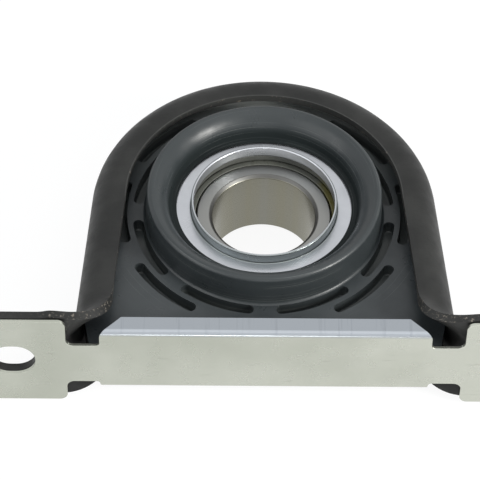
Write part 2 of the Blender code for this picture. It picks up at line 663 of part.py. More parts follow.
def build_inner_ring():
    """Turn the long inner ring with its bore chamfers and ball groove."""
    rear = BEARING_FRONT - INNER_RING_LENGTH
    chamfer = INNER_RING_BORE_CHAMFER
    outline = [(BORE_RADIUS, rear + chamfer), (BORE_RADIUS, BEARING_FRONT - chamfer)]
    outline += [(BORE_RADIUS + chamfer, BEARING_FRONT)]
    outline += [(INNER_RING_RADIUS - RING_CHAMFER, BEARING_FRONT)]
    outline += [(INNER_RING_RADIUS, BEARING_FRONT - RING_CHAMFER)]
    outline += groove_points(INNER_RING_RADIUS, True)
    outline += [(INNER_RING_RADIUS, rear + RING_CHAMFER), (INNER_RING_RADIUS - RING_CHAMFER, rear)]
    outline += [(BORE_RADIUS + chamfer, rear)]
    material = finish("ground_steel_inner", (0.50, 0.49, 0.46), 0.22, 1.0)
    return add_object("inner_ring", turned(outline, TURN_STEPS), material, AXIS_POINT)


def build_outer_ring():
    """Turn the outer ring with its ball groove and the recesses of its two seals."""
    rear = OUTER_RING_REAR
    edge = OUTER_RING_RADIUS - RING_CHAMFER
    recess = SEAL_THICKNESS + SEAL_RECESS_DEPTH + SEAT_GAP
    outline = [(edge, rear), (OUTER_RING_RADIUS, rear + RING_CHAMFER)]
    outline += [(OUTER_RING_RADIUS, BEARING_FRONT - RING_CHAMFER), (edge, BEARING_FRONT)]
    outline += [(SEAL_RECESS_RADIUS, BEARING_FRONT), (SEAL_RECESS_RADIUS, BEARING_FRONT - recess)]
    outline += [(OUTER_RING_BORE_RADIUS, BEARING_FRONT - recess)]
    outline += list(reversed(groove_points(OUTER_RING_BORE_RADIUS, False)))
    outline += [(OUTER_RING_BORE_RADIUS, rear + recess), (SEAL_RECESS_RADIUS, rear + recess)]
    outline += [(SEAL_RECESS_RADIUS, rear)]
    material = finish("ground_steel_outer", (0.48, 0.48, 0.48), 0.25, 1.0)
    return add_object("outer_ring", turned(outline, TURN_STEPS), material, AXIS_POINT)


def build_seal(name, facing):
    """Turn one seal of the bearing, dished around its middle, facing front (1) or rear (-1)."""
    outer_face = OUTER_RING_WIDTH / 2.0 - SEAL_RECESS_DEPTH
    inner_face = outer_face - SEAL_THICKNESS
    outer = SEAL_RECESS_RADIUS - SEAT_GAP
    inner = INNER_RING_RADIUS + ROLLING_GAP
    groove_outer = outer - 1.5 * SEAL_THICKNESS
    groove_inner = inner + 2.0 * SEAL_THICKNESS
    outline = [(inner, inner_face), (outer, inner_face), (outer, outer_face)]
    outline += [(groove_outer, outer_face), (groove_outer - SEAL_DISH, outer_face - SEAL_DISH)]
    outline += [(groove_inner + SEAL_DISH, outer_face - SEAL_DISH), (groove_inner, outer_face)]
    outline += [(inner, outer_face)]
    placed = [(radius, BALL_PLANE + facing * height) for radius, height in outline]
    material = finish(name + "_nitrile", (0.085, 0.08, 0.03), 0.5, 0.0)
    return add_object(name, turned(placed, SMALL_TURN_STEPS), material, AXIS_POINT)


def ribbon_points(radius, flat):
    """Return (angle, height) points of one ribbon face over a ball and on to the next rivet.

    The face is an arc of the given radius about the ball, and flat at the given height beside it.
    """
    start = math.asin(flat / radius)
    points = []
    for index in range(POCKET_STEPS + 1):
        turn = start + (math.pi - 2.0 * start) * index / POCKET_STEPS
        along = -radius * math.cos(turn)
        points.append((math.asin(along / BALL_PITCH_RADIUS), radius * math.sin(turn)))
    points.append((math.pi / BALL_COUNT, flat))
    return points


def build_cage_half(name, facing, parent, rivet_cutter):
    """Loft one pressed ribbon of the cage, its pockets bowed over the balls."""
    bm = bmesh.new()
    pocket = BALL_RADIUS + SEAT_GAP
    flat = SEAT_GAP / 2.0
    near_face = ribbon_points(pocket, flat)
    far_face = ribbon_points(pocket + CAGE_THICKNESS, flat + CAGE_THICKNESS)
    inner = BALL_PITCH_RADIUS - CAGE_HALF_WIDTH
    outer = BALL_PITCH_RADIUS + CAGE_HALF_WIDTH
    loops = []
    for ball in range(BALL_COUNT):
        base = math.tau * ball / BALL_COUNT
        for (near_angle, low), (far_angle, high) in zip(near_face, far_face):
            corners = ((inner, near_angle, low), (outer, near_angle, low),
                       (outer, far_angle, high), (inner, far_angle, high))
            loops.append([bm.verts.new((radius * math.cos(base + angle), radius * math.sin(base + angle),
                                        facing * height)) for radius, angle, height in corners])
    for near, far in zip(loops, loops[1:] + loops[:1]):
        for index in range(4):
            bm.faces.new((near[index - 1], near[index], far[index], far[index - 1]))
    material = finish(name + "_steel", (0.45, 0.43, 0.38), 0.35, 1.0)
    half = add_object(name, bm, material, parent=parent)
    combine(half, rivet_cutter, 'DIFFERENCE')
    return half


def rivet_outline(radius_margin):
    """Return the turned outline of a rivet, or of its hole when the margin is above zero."""
    seat = SEAT_GAP / 2.0 + CAGE_THICKNESS + SEAT_GAP
    if radius_margin > 0.0:
        return [(0.0, -3.0 * seat), (RIVET_RADIUS + radius_margin, -3.0 * seat),
                (RIVET_RADIUS + radius_margin, 3.0 * seat), (0.0, 3.0 * seat)]
    top = seat + RIVET_HEAD_HEIGHT
    crown = RIVET_HEAD_RADIUS * 0.6
    return [(0.0, -top), (crown, -top), (RIVET_HEAD_RADIUS, -seat), (RIVET_RADIUS, -seat),
            (RIVET_RADIUS, seat), (RIVET_HEAD_RADIUS, seat), (crown, top), (0.0, top)]


def pin_mesh(outline, centre):
    """Spin an outline that touches its axis into a closed pin standing at the centre."""
    bm = bmesh.new()
    verts = [bm.verts.new((radius, 0.0, height)) for radius, height in outline]
    edges = [bm.edges.new(pair) for pair in zip(verts, verts[1:])]
    bmesh.ops.spin(bm, geom=verts + edges, cent=(0.0, 0.0, 0.0), axis=(0.0, 0.0, 1.0),
                   angle=math.tau, steps=RIVET_SIDES, use_merge=True)
    bmesh.ops.remove_doubles(bm, verts=bm.verts[:], dist=1e-6)
    bmesh.ops.translate(bm, verts=bm.verts[:], vec=centre)
    return bm


def rivet_places():
    """Return the points midway between the balls on the pitch circle."""
    pitch = math.tau / BALL_COUNT
    return [(BALL_PITCH_RADIUS * math.cos(pitch * (index + 0.5)),
             BALL_PITCH_RADIUS * math.sin(pitch * (index + 0.5)), 0.0) for index in range(BALL_COUNT)]


def build_cage(carrier):
    """Build both ribbons and the rivets between the balls."""
    holes = bmesh.new()
    for place in rivet_places():
        pin = pin_mesh(rivet_outline(SEAT_GAP), place)
        scratch = bpy.data.meshes.new("rivet_hole")
        pin.to_mesh(scratch)
        pin.free()
        holes.from_mesh(scratch)
        bpy.data.meshes.remove(scratch)
    cutter = add_cutter("cage_rivet_cutter", holes)
    cutter.parent = carrier
    build_cage_half("cage_front", 1.0, carrier, cutter)
    build_cage_half("cage_rear", -1.0, carrier, cutter)
    material = finish("rivet_steel", (0.50, 0.48, 0.44), 0.35, 1.0)
    for index, place in enumerate(rivet_places()):
        add_object(f"cage_rivet_{index + 1}", pin_mesh(rivet_outline(0.0), (0.0, 0.0, 0.0)),
                   material, place, carrier)


def build_balls(carrier):
    """Place the balls on the pitch circle."""
    material = finish("ball_steel", (0.60, 0.60, 0.60), 0.12, 1.0)
    for index in range(BALL_COUNT):
        angle = math.tau * index / BALL_COUNT
        bm = bmesh.new()
        bmesh.ops.create_uvsphere(bm, u_segments=10, v_segments=8, radius=BALL_RADIUS)
        place = (BALL_PITCH_RADIUS * math.cos(angle), BALL_PITCH_RADIUS * math.sin(angle), 0.0)
        add_object(f"ball_{index + 1}", bm, material, place, carrier)


def main():
    """Build the whole assembly."""
    clear_scene()
    cutters = build_bolt_cutters()
    build_base_plate(cutters)
    build_bracket(cutters)
    build_cushion()
    build_bearing_cup()
    build_felt_seal()
    build_rear_shield()
    build_outer_ring()
    build_inner_ring()
    build_seal("front_seal", 1.0)
    build_seal("rear_seal", -1.0)
    carrier = bpy.data.objects.new("cage_axis", None)
    carrier.location = (0.0, AXIS_HEIGHT, BALL_PLANE)
    bpy.context.collection.objects.link(carrier)
    build_cage(carrier)
    build_balls(carrier)


main()
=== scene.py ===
"""Driveshaft centre bearing, dressed for rendering.

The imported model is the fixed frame. Each sub-assembly is a class that holds its sizes in metres,
builds its fine meshes in the frame's place, and gives them their finishes. X runs along the base,
Y from the mounting face up to the top of the arch, and Z along the bearing's axis.
"""
from __future__ import annotations

import logging
import math
from dataclasses import dataclass, field
from enum import Enum, IntEnum
from functools import reduce
from typing import Callable, Iterable, Sequence

import bmesh
import bpy
from mathutils import Matrix, Vector


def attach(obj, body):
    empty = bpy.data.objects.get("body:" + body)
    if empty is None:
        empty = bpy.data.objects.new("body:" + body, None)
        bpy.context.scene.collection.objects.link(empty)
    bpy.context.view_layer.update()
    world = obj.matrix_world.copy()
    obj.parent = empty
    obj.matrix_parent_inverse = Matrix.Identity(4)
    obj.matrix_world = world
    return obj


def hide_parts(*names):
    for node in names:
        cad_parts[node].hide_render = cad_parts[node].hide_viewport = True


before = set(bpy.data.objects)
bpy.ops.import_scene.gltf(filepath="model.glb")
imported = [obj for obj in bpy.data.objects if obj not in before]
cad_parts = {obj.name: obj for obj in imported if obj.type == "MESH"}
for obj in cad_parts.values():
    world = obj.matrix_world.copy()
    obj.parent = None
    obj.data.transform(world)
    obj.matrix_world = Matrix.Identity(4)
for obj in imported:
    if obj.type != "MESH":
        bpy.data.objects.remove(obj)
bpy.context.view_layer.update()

LOG = logging.getLogger("centre_bearing")

Colour = tuple[float, float, float]
Point = tuple[float, float, float]
Socket = bpy.types.NodeSocket
ORIGIN: Point = (0.0, 0.0, 0.0)
EVEN: Point = (1.0, 1.0, 1.0)
AXIS_HEIGHT = 0.070
HALF_TURN = math.pi
QUARTER_TURN = math.pi / 2.0
SAME_PLACE = 1e-7
SAME_CORNER = 1e-6
STEEP_EDGE = math.radians(60.0)
EDGE_MARK = "cut_edge"


class Body(Enum):
    """The moving bodies of the frame."""

    HOUSING = "housing"
    INNER_RACE = "inner_race"
    CAGE = "cage_and_balls"


class Slot(Enum):
    """Names of the record's material slots; nothing in this script reads them."""

    ZINC_SHEET = "zinc_sheet"
    BLACK_STEEL = "black_coated_steel"
    RUBBER = "moulded_rubber"
    BRIGHT_ZINC = "bright_zinc"
    FELT = "oiled_felt"
    GROUND_STEEL = "ground_steel"
    NITRILE = "nitrile"
    BALL_STEEL = "ball_steel"


# ----- Finishes


@dataclass(frozen=True)
class Grain:
    """A noise pattern: cells per metre, octaves, share of each finer octave, stretch and shift."""

    scale: float
    detail: float = 3.0
    rough: float = 0.55
    stretch: Point = EVEN
    shift: Point = ORIGIN


@dataclass(frozen=True)
class Fade:
    """A smooth change from low to high while a value runs from start to end."""

    start: float
    end: float
    low: float = 0.0
    high: float = 1.0


@dataclass(frozen=True)
class Patches:
    """Patches that a fade cuts out of a grain."""

    grain: Grain
    fade: Fade


@dataclass(frozen=True)
class Relief:
    """A bump layer: its depth in metres, its strength, and its grain if it has one of its own."""

    depth: float
    strength: float
    grain: Grain | None = None


class Axis(IntEnum):
    """The object's axes."""

    X = 0
    Y = 1
    Z = 2


class Recipe:
    """A node material under construction round its Principled shader."""

    lathe_detail: float = 4.0
    lathe_rough: float = 0.65
    grease_edge: Grain = Grain(90.0, 2.0)
    grease_drift: float = 0.02
    grease_side: Fade = Fade(0.026, 0.034, 0.12, 1.0)

    def __init__(self, name: str, base: Colour, roughness: float, metallic: float = 0.0) -> None:
        """Start a material.

        Args:
            name: The material's name.
            base: Base colour, linear.
            roughness: Roughness of the surface.
            metallic: Metallic value of the surface.
        """
        self.material = bpy.data.materials.new(name)
        self.material.use_nodes = True
        self.tree = self.material.node_tree
        self.shader = self.tree.nodes["Principled BSDF"]
        self.shader.inputs["Base Color"].default_value = (*base, 1.0)
        self.shader.inputs["Roughness"].default_value = roughness
        self.shader.inputs["Metallic"].default_value = metallic
        self.place = self.node("ShaderNodeTexCoord").outputs["Object"]
        self.last_bump: Socket | None = None

    def node(self, kind: str, **settings: object) -> bpy.types.Node:
        """Add a node and set its properties.

        Args:
            kind: The node's type name.
            **settings: Properties to set on the node.

        Returns:
            The new node.
        """
        made = self.tree.nodes.new(kind)
        for key, value in settings.items():
            setattr(made, key, value)
        return made

    def feed(self, socket: Socket, value: object) -> None:
        """Link a socket to another one, or set its plain value.

        Args:
            socket: The input to feed.
            value: An output socket, a number or a tuple.
        """
        if isinstance(value, Socket):
            self.tree.links.new(value, socket)
        else:
            socket.default_value = value

    def math(self, operation: str, *values: object) -> Socket:
        """Return the result of a Math node on sockets or numbers."""
        made = self.node("ShaderNodeMath", operation=operation)
        for socket, value in zip(made.inputs, values):
            self.feed(socket, value)
        return made.outputs[0]

    def times(self, *values: object) -> Socket:
        """Return the product of sockets or numbers."""
        return reduce(lambda first, second: self.math('MULTIPLY', first, second), values)

    def most(self, *values: object) -> Socket:
        """Return the largest of sockets or numbers."""
        return reduce(lambda first, second: self.math('MAXIMUM', first, second), values)

    def stretched(self, scale: Point, shift: Point) -> Socket:
        """Return the object's coordinates scaled per axis and shifted."""
        mapping = self.node("ShaderNodeMapping")
        self.feed(mapping.inputs["Vector"], self.place)
        mapping.inputs["Location"].default_value = shift
        mapping.inputs["Scale"].default_value = scale
        return mapping.outputs[0]

    def noise(self, grain: Grain, vector: Socket | None = None) -> Socket:
        """Return a noise value from 0 to 1.

        Args:
            grain: The pattern.
            vector: Coordinates to read, the object's own when left out.

        Returns:
            The noise's value socket.
        """
        if vector is None:
            plain = (grain.stretch, grain.shift) == (EVEN, ORIGIN)
            vector = self.place if plain else self.stretched(grain.stretch, grain.shift)
        made = self.node("ShaderNodeTexNoise")
        self.feed(made.inputs["Vector"], vector)
        made.inputs["Scale"].default_value = grain.scale
        made.inputs["Detail"].default_value = grain.detail
        made.inputs["Roughness"].default_value = grain.rough
        return made.outputs[0]

    def faded(self, value: Socket, fade: Fade) -> Socket:
        """Return a value mapped smoothly by a fade and clamped."""
        made = self.node("ShaderNodeMapRange", interpolation_type='SMOOTHSTEP')
        self.feed(made.inputs[0], value)
        for socket, number in zip(made.inputs[1:5], (fade.start, fade.end, fade.low, fade.high)):
            socket.default_value = number
        return made.outputs[0]

    def patches(self, patches: Patches) -> Socket:
        """Return where patches of noise lie."""
        return self.faded(self.noise(patches.grain), patches.fade)

    def blended(self, share: Socket, first: object, second: object) -> Socket:
        """Return a colour mixed from two colours or colour sockets.

        Args:
            share: How much of the second colour shows.
            first: Colour or socket at a share of 0.
            second: Colour or socket at a share of 1.

        Returns:
            The mixed colour's socket.
        """
        made = self.node("ShaderNodeMix", data_type='RGBA')
        self.feed(made.inputs[0], share)
        for socket, value in ((made.inputs[6], first), (made.inputs[7], second)):
            self.feed(socket, value if isinstance(value, Socket) else (*value, 1.0))
        return made.outputs[2]

    def colour(self, socket: Socket) -> None:
        """Feed the shader's base colour."""
        self.feed(self.shader.inputs["Base Color"], socket)

    def roughen(self, socket: Socket) -> None:
        """Feed the shader's roughness."""
        self.feed(self.shader.inputs["Roughness"], socket)

    def shine(self, value: object) -> None:
        """Feed or set the strength of the shader's plain reflection."""
        self.feed(self.shader.inputs["Specular IOR Level"], value)

    def bump(self, relief: Relief, height: Socket | None = None) -> None:
        """Add a bump layer under the shader's normal.

        Args:
            relief: The layer's depth and strength, and its grain if no height is given.
            height: Height pattern from 0 to 1.
        """
        made = self.node("ShaderNodeBump")
        made.inputs["Strength"].default_value = relief.strength
        made.inputs["Distance"].default_value = relief.depth
        self.feed(made.inputs["Height"], self.noise(relief.grain) if height is None else height)
        if self.last_bump is not None:
            self.feed(made.inputs["Normal"], self.last_bump)
        self.last_bump = made.outputs[0]
        self.feed(self.shader.inputs["Normal"], self.last_bump)

    def coordinate(self, axis: Axis, vector: Socket | None = None) -> Socket:
        """Return one coordinate of the object or of another vector, in metres."""
        parts = self.node("ShaderNodeSeparateXYZ")
        self.feed(parts.inputs[0], self.place if vector is None else vector)
        return parts.outputs[axis]

    def distance(self, axis: Axis) -> Socket:
        """Return the distance from the middle plane across an axis in metres."""
        return self.math('ABSOLUTE', self.coordinate(axis))

    def radius(self) -> Socket:
        """Return the distance from the bearing's axis in metres."""
        centred = self.stretched(EVEN, (0.0, -AXIS_HEIGHT, 0.0))
        across, up = self.coordinate(Axis.X, centred), self.coordinate(Axis.Y, centred)
        return self.math('SQRT', self.math('ADD', self.times(across, across), self.times(up, up)))

    def lathe_lines(self, scale: float) -> Socket:
        """Return fine rings round the axis, as a lathe or a grinder leaves them."""
        joined = self.node("ShaderNodeCombineXYZ")
        self.feed(joined.inputs[0], self.radius())
        self.feed(joined.inputs[1], self.coordinate(Axis.Z))
        return self.noise(Grain(scale, self.lathe_detail, self.lathe_rough), joined.outputs[0])

    def grease(self) -> Socket:
        """Return where old grease sits: uneven, and mostly on the right of the seals."""
        uneven = self.times(self.noise(self.grease_edge), self.grease_drift)
        return self.faded(self.math('ADD', self.coordinate(Axis.X), uneven), self.grease_side)


@dataclass(frozen=True)
class CoatedSteel:
    """Black satin coating on pressed steel, chipped on its cut edges, with painted fill light on the lip's
    inner edge.
    """

    base: Colour = (0.0172, 0.0176, 0.0172)
    dusty: Colour = (0.0298, 0.0302, 0.0290)
    chip: Colour = (0.15, 0.135, 0.115)
    # painted fill light: lighter colour for the lip's inner edge inside the arch
    lip: Colour = (0.055, 0.056, 0.054)
    roughness: float = 0.42
    specular: float = 0.20
    cloud: Patches = Patches(Grain(55.0, 4.0), Fade(0.35, 0.75))
    inside: Fade = Fade(0.0541, 0.0537, 0.0, 0.8)
    cut_edge: Fade = Fade(0.7, 1.0)
    arch_side: Fade = Fade(0.090, 0.080, 0.15, 1.0)
    foot_height: Fade = Fade(0.034, 0.026)
    flakes: Patches = Patches(Grain(520.0, 4.0, 0.7), Fade(0.60, 0.66))
    knocks: Patches = Patches(Grain(900.0, 4.0, 0.7), Fade(0.59, 0.64))
    specks: Patches = Patches(Grain(2600.0, 1.0), Fade(0.80, 0.83, 0.0, 0.35))
    sheen: Patches = Patches(Grain(210.0), Fade(0.3, 0.75, 0.40, 0.54))
    texture: Relief = Relief(0.00006, 0.5, Grain(1500.0, 2.0))
    waves: Relief = Relief(0.00022, 0.5, Grain(260.0, 2.0))

    def build(self) -> bpy.types.Material:
        """Return the finished material."""
        recipe = Recipe("coated_steel", self.base, self.roughness)
        ground = recipe.blended(recipe.patches(self.cloud), self.base, self.dusty)
        # painted fill light: inside the lip edge's radius the coating is lightened, standing in for light
        # that reaches the gap
        ground = recipe.blended(recipe.faded(recipe.radius(), self.inside), ground, self.lip)
        mark = recipe.node("ShaderNodeAttribute", attribute_name=EDGE_MARK).outputs["Fac"]
        edge = recipe.faded(mark, self.cut_edge)
        near = recipe.faded(recipe.distance(Axis.X), self.arch_side)
        low = recipe.faded(recipe.coordinate(Axis.Y), self.foot_height)
        chips = recipe.times(edge, recipe.patches(self.flakes), near)
        knocks = recipe.times(recipe.patches(self.knocks), low, near, edge)
        worn = recipe.most(chips, knocks, recipe.patches(self.specks))
        recipe.colour(recipe.blended(worn, ground, self.chip))
        recipe.roughen(recipe.patches(self.sheen))
        recipe.shine(self.specular)
        recipe.bump(self.texture)
        recipe.bump(self.waves)
        return recipe.material


@dataclass(frozen=True)
class MouldedRubber:
    """Dark rubber with a faint bloom, scuffed arcs and a fine mould texture, with painted fill light in the
    gap under the arch and painted shade in its pockets and root.
    """

    base: Colour = (0.0255, 0.0310, 0.0330)
    bloom: Colour = (0.0570, 0.0640, 0.0680)
    scuff: Colour = (0.15, 0.16, 0.155)
    # painted fill light for the rubber in the gap under the arch
    painted_gap_light: Colour = (0.185, 0.197, 0.192)
    # painted shade for the pockets' walls and the root beside the flat ring
    painted_shade: Colour = (0.0150, 0.0190, 0.0195)
    floor: Colour = (0.0560, 0.0630, 0.0620)
    roughness: float = 0.5
    specular: float = 0.36
    root_dulling: float = 0.30
    cloud: Patches = Patches(Grain(38.0, 4.0, 0.6), Fade(0.25, 0.70, 0.4, 1.0))
    sheltered: Fade = Fade(0.0450, 0.0500, 0.25, 0.75)
    gap_light_radius: Fade = Fade(0.0455, 0.0475)
    gap_light_height: Fade = Fade(0.075, 0.120, 0.0, 0.9)
    pocket_wall: Fade = Fade(0.0047, 0.0038, 0.0, 0.45)
    pocket_floor: Fade = Fade(0.0026, 0.0016, 0.0, 0.9)
    root_height: Fade = Fade(0.0050, 0.0070)
    root_radius: Fade = Fade(0.0386, 0.0367, 0.0, 0.95)
    flakes: Patches = Patches(Grain(1100.0, 2.0, 0.7), Fade(0.76, 0.80, 0.0, 0.35))
    rubbed: Patches = Patches(Grain(46.0, 2.0, 0.5, EVEN, (0.3, 0.1, 0.0)), Fade(0.42, 0.58))
    arc_scale: float = 2200.0
    arcs: Fade = Fade(0.59, 0.65, 0.0, 0.75)
    sheen: Patches = Patches(Grain(120.0), Fade(0.3, 0.7, 0.27, 0.40))
    texture: Relief = Relief(0.00003, 0.55, Grain(4200.0, 2.0))
    waves: Relief = Relief(0.00025, 0.35, Grain(150.0, 2.0))

    def build(self) -> bpy.types.Material:
        """Return the finished material."""
        recipe = Recipe("moulded_rubber", self.base, self.roughness)
        radius = recipe.radius()
        depth = recipe.distance(Axis.Z)
        settled = recipe.times(recipe.faded(radius, self.sheltered), recipe.patches(self.cloud))
        ground = recipe.blended(settled, self.base, self.bloom)
        # painted fill light: the rubber in the gap under the upper arch is lightened, standing in for light
        # that reaches it
        channel = recipe.times(recipe.faded(radius, self.gap_light_radius),
                               recipe.faded(recipe.coordinate(Axis.Y), self.gap_light_height))
        ground = recipe.blended(channel, ground, self.painted_gap_light)
        # painted shade: the pockets' walls below the web's faces are darkened
        ground = recipe.blended(recipe.faded(depth, self.pocket_wall), ground, self.painted_shade)
        ground = recipe.blended(recipe.faded(depth, self.pocket_floor), ground, self.floor)
        # painted shade: the root between the dish and the flat ring is darkened and its plain reflection
        # lowered
        root = recipe.times(recipe.faded(depth, self.root_height), recipe.faded(radius, self.root_radius))
        ground = recipe.blended(root, ground, self.painted_shade)
        arcs = recipe.faded(recipe.lathe_lines(self.arc_scale), self.arcs)
        worn = recipe.most(recipe.patches(self.flakes), recipe.times(recipe.patches(self.rubbed), arcs))
        recipe.colour(recipe.blended(worn, ground, self.scuff))
        recipe.roughen(recipe.patches(self.sheen))
        recipe.shine(recipe.math('SUBTRACT', self.specular, recipe.times(root, self.root_dulling)))
        recipe.bump(self.texture)
        recipe.bump(self.waves)
        return recipe.material


@dataclass(frozen=True)
class ZincSheet:
    """Zinc-plated sheet with rolling lines and smears; its flanges carry a bluish painted reflection,
    scored.
    """

    base: Colour = (0.420, 0.438, 0.379)
    pale: Colour = (0.515, 0.530, 0.470)
    stain: Colour = (0.322, 0.335, 0.289)
    # painted reflection: bluish flange colour, and its scored version
    painted_reflection: Colour = (0.352, 0.380, 0.412)
    scored_painted_reflection: Colour = (0.265, 0.288, 0.317)
    roughness: float = 0.33
    metallic: float = 0.85
    cloud: Patches = Patches(Grain(20.0, 3.0, 0.5), Fade(0.3, 0.7))
    # painted light: the sheet grows paler towards its right end
    painted_light_drift: Fade = Fade(-0.10, 0.10, -0.15, 0.25)
    rolled: Grain = Grain(1.0, 4.0, 0.6, (30.0, 30.0, 2600.0))
    lines: Fade = Fade(0.55, 0.80, 0.0, 0.22)
    smears: Patches = Patches(Grain(1.0, 3.0, 0.6, (70.0, 400.0, 400.0)), Fade(0.62, 0.74, 0.0, 0.35))
    scores: Patches = Patches(Grain(1.0, 3.0, 0.7, (420.0, 14.0, 14.0)), Fade(0.56, 0.66, 0.0, 0.30))
    flange_side: Fade = Fade(0.0625, 0.0620)
    flange_front: Fade = Fade(0.0140, 0.0155)
    flange_polish: float = 0.10
    sheen: Patches = Patches(Grain(90.0, 4.0), Fade(0.3, 0.7, 0.22, 0.29))
    line_relief: Relief = Relief(0.00003, 0.3)
    texture: Relief = Relief(0.00002, 0.3, Grain(420.0, 2.0))

    def build(self) -> bpy.types.Material:
        """Return the finished material."""
        recipe = Recipe("zinc_sheet", self.base, self.roughness, self.metallic)
        # painted light: paler towards +X, as if lit more strongly from that side
        painted_light_drift = recipe.faded(recipe.coordinate(Axis.X), self.painted_light_drift)
        spread = recipe.math('ADD', recipe.patches(self.cloud), painted_light_drift)
        ground = recipe.blended(spread, self.base, self.pale)
        rolled = recipe.noise(self.rolled)
        ground = recipe.blended(recipe.faded(rolled, self.lines), ground, self.stain)
        ground = recipe.blended(recipe.patches(self.smears), ground, self.stain)
        # painted reflection: the flanges are tinted bluish as if they mirrored a bluish surround; real
        # scores run through it
        flange = recipe.times(recipe.faded(recipe.distance(Axis.X), self.flange_side),
                              recipe.faded(recipe.coordinate(Axis.Z), self.flange_front))
        painted_reflection = recipe.blended(recipe.patches(self.scores), self.painted_reflection, self.scored_painted_reflection)
        recipe.colour(recipe.blended(flange, ground, painted_reflection))
        recipe.roughen(recipe.math('SUBTRACT', recipe.patches(self.sheen),
                                   recipe.times(flange, self.flange_polish)))
        recipe.bump(self.line_relief, rolled)
        recipe.bump(self.texture)
        return recipe.material


@dataclass(frozen=True)
class BrightZinc:
    """Bright bluish zinc on pressed and turned sheet, with painted shade on the collar's outer wall."""

    name: str = "bright_zinc"
    base: Colour = (0.560, 0.578, 0.612)
    dull: Colour = (0.500, 0.518, 0.550)
    # painted shade for the wall at radius 27.8 to 29.2 mm, the cup's collar
    turned: Colour = (0.255, 0.283, 0.285)
    roughness: float = 0.30
    metallic: float = 0.95
    cloud: Patches = Patches(Grain(60.0), Fade(0.35, 0.7))
    ring_scale: float = 3500.0
    ringed: Fade = Fade(0.5, 0.8, 0.0, 0.2)
    wall_inside: Fade = Fade(0.0278, 0.0281)
    wall_outside: Fade = Fade(0.0292, 0.0287)
    sheen: Patches = Patches(Grain(75.0, 4.0, 0.6), Fade(0.35, 0.7, 0.27, 0.35))
    ring_relief: Relief = Relief(0.00002, 0.45)
    texture: Relief = Relief(0.00001, 0.4, Grain(1300.0, 2.0))

    def build(self) -> bpy.types.Material:
        """Return the finished material."""
        recipe = Recipe(self.name, self.base, self.roughness, self.metallic)
        radius = recipe.radius()
        rings = recipe.lathe_lines(self.ring_scale)
        ground = recipe.blended(recipe.patches(self.cloud), self.base, self.dull)
        ground = recipe.blended(recipe.faded(rings, self.ringed), ground, self.dull)
        # painted shade: the collar's outer wall is darkened, standing in for the dark surroundings it
        # reflects
        wall = recipe.times(recipe.faded(radius, self.wall_inside), recipe.faded(radius, self.wall_outside))
        recipe.colour(recipe.blended(wall, ground, self.turned))
        recipe.roughen(recipe.patches(self.sheen))
        recipe.bump(self.ring_relief, rings)
        recipe.bump(self.texture)
        return recipe.material


@dataclass(frozen=True)
class GroundSteel:
    """Ground bearing steel with fine grinding rings and axial streaks, and painted shade on the bore's
    chamfer.
    """

    name: str = "ground_steel"
    base: Colour = (0.275, 0.278, 0.268)
    dark: Colour = (0.238, 0.242, 0.231)
    warm: Colour = (0.216, 0.206, 0.148)
    # painted shade for the chamfer at the bore's edge
    painted_bevel_shade: Colour = (0.100, 0.100, 0.096)
    roughness: float = 0.28
    smoothest: float = 0.02
    roughest: float = 0.03
    streaks: Patches = Patches(Grain(150.0, 2.0, 0.5, (1.0, 1.0, 0.02), (0.37, 0.37, 0.0)),
                               Fade(0.35, 0.7))
    ring_scale: float = 5200.0
    ringed: Fade = Fade(0.45, 0.8, 0.0, 0.4)
    bore: Fade = Fade(0.0206, 0.0201)
    bore_warmth: float = 0.75
    bore_streaks: float = 0.45
    bevel_inside: Fade = Fade(0.0200, 0.0203)
    bevel_outside: Fade = Fade(0.0216, 0.0212)
    bevel_shade: float = 0.9
    bevel_dulling: float = 0.18
    face_dulling: Fade = Fade(0.0205, 0.0215, 0.0, 0.07)
    ring_relief: Relief = Relief(0.00002, 0.2)

    def build(self) -> bpy.types.Material:
        """Return the finished material."""
        recipe = Recipe(self.name, self.base, self.roughness, 1.0)
        radius = recipe.radius()
        rings = recipe.lathe_lines(self.ring_scale)
        bore = recipe.faded(radius, self.bore)
        drawn = recipe.times(recipe.patches(self.streaks), bore)
        ground = recipe.blended(drawn, self.base, self.dark)
        ground = recipe.blended(recipe.faded(rings, self.ringed), ground, self.dark)
        ground = recipe.blended(recipe.times(bore, self.bore_warmth), ground, self.warm)
        ground = recipe.blended(recipe.times(drawn, self.bore_streaks), ground, self.dark)
        # painted shade: the chamfer at the bore's edge is darkened, standing in for the dark surroundings
        # it reflects
        bevel = recipe.times(recipe.faded(radius, self.bevel_inside),
                             recipe.faded(radius, self.bevel_outside))
        recipe.colour(recipe.blended(recipe.times(bevel, self.bevel_shade), ground, self.painted_bevel_shade))
        worn = recipe.faded(rings, Fade(0.3, 0.7, self.roughness - self.smoothest,
                                        self.roughness + self.roughest))
        worn = recipe.math('ADD', worn, recipe.faded(radius, self.face_dulling))
        recipe.roughen(recipe.math('ADD', worn, recipe.times(bevel, self.bevel_dulling)))
        recipe.bump(self.ring_relief, rings)
        return recipe.material


@dataclass(frozen=True)
class OiledFelt:
    """Matted felt soaked with grease."""

    base: Colour = (0.084, 0.088, 0.082)
    wet: Colour = (0.090, 0.080, 0.024)
    roughness: float = 0.7
    fibres: Grain = Grain(2200.0, 5.0, 0.7)
    sheen: Patches = Patches(Grain(300.0), Fade(0.3, 0.7, 0.30, 0.85))
    nap: Relief = Relief(0.0002, 0.7)

    def build(self) -> bpy.types.Material:
        """Return the finished material."""
        recipe = Recipe("oiled_felt", self.base, self.roughness)
        fibres = recipe.noise(self.fibres)
        recipe.colour(recipe.blended(recipe.times(recipe.grease(), fibres), self.base, self.wet))
        recipe.roughen(recipe.patches(self.sheen))
        recipe.bump(self.nap, fibres)
        return recipe.material


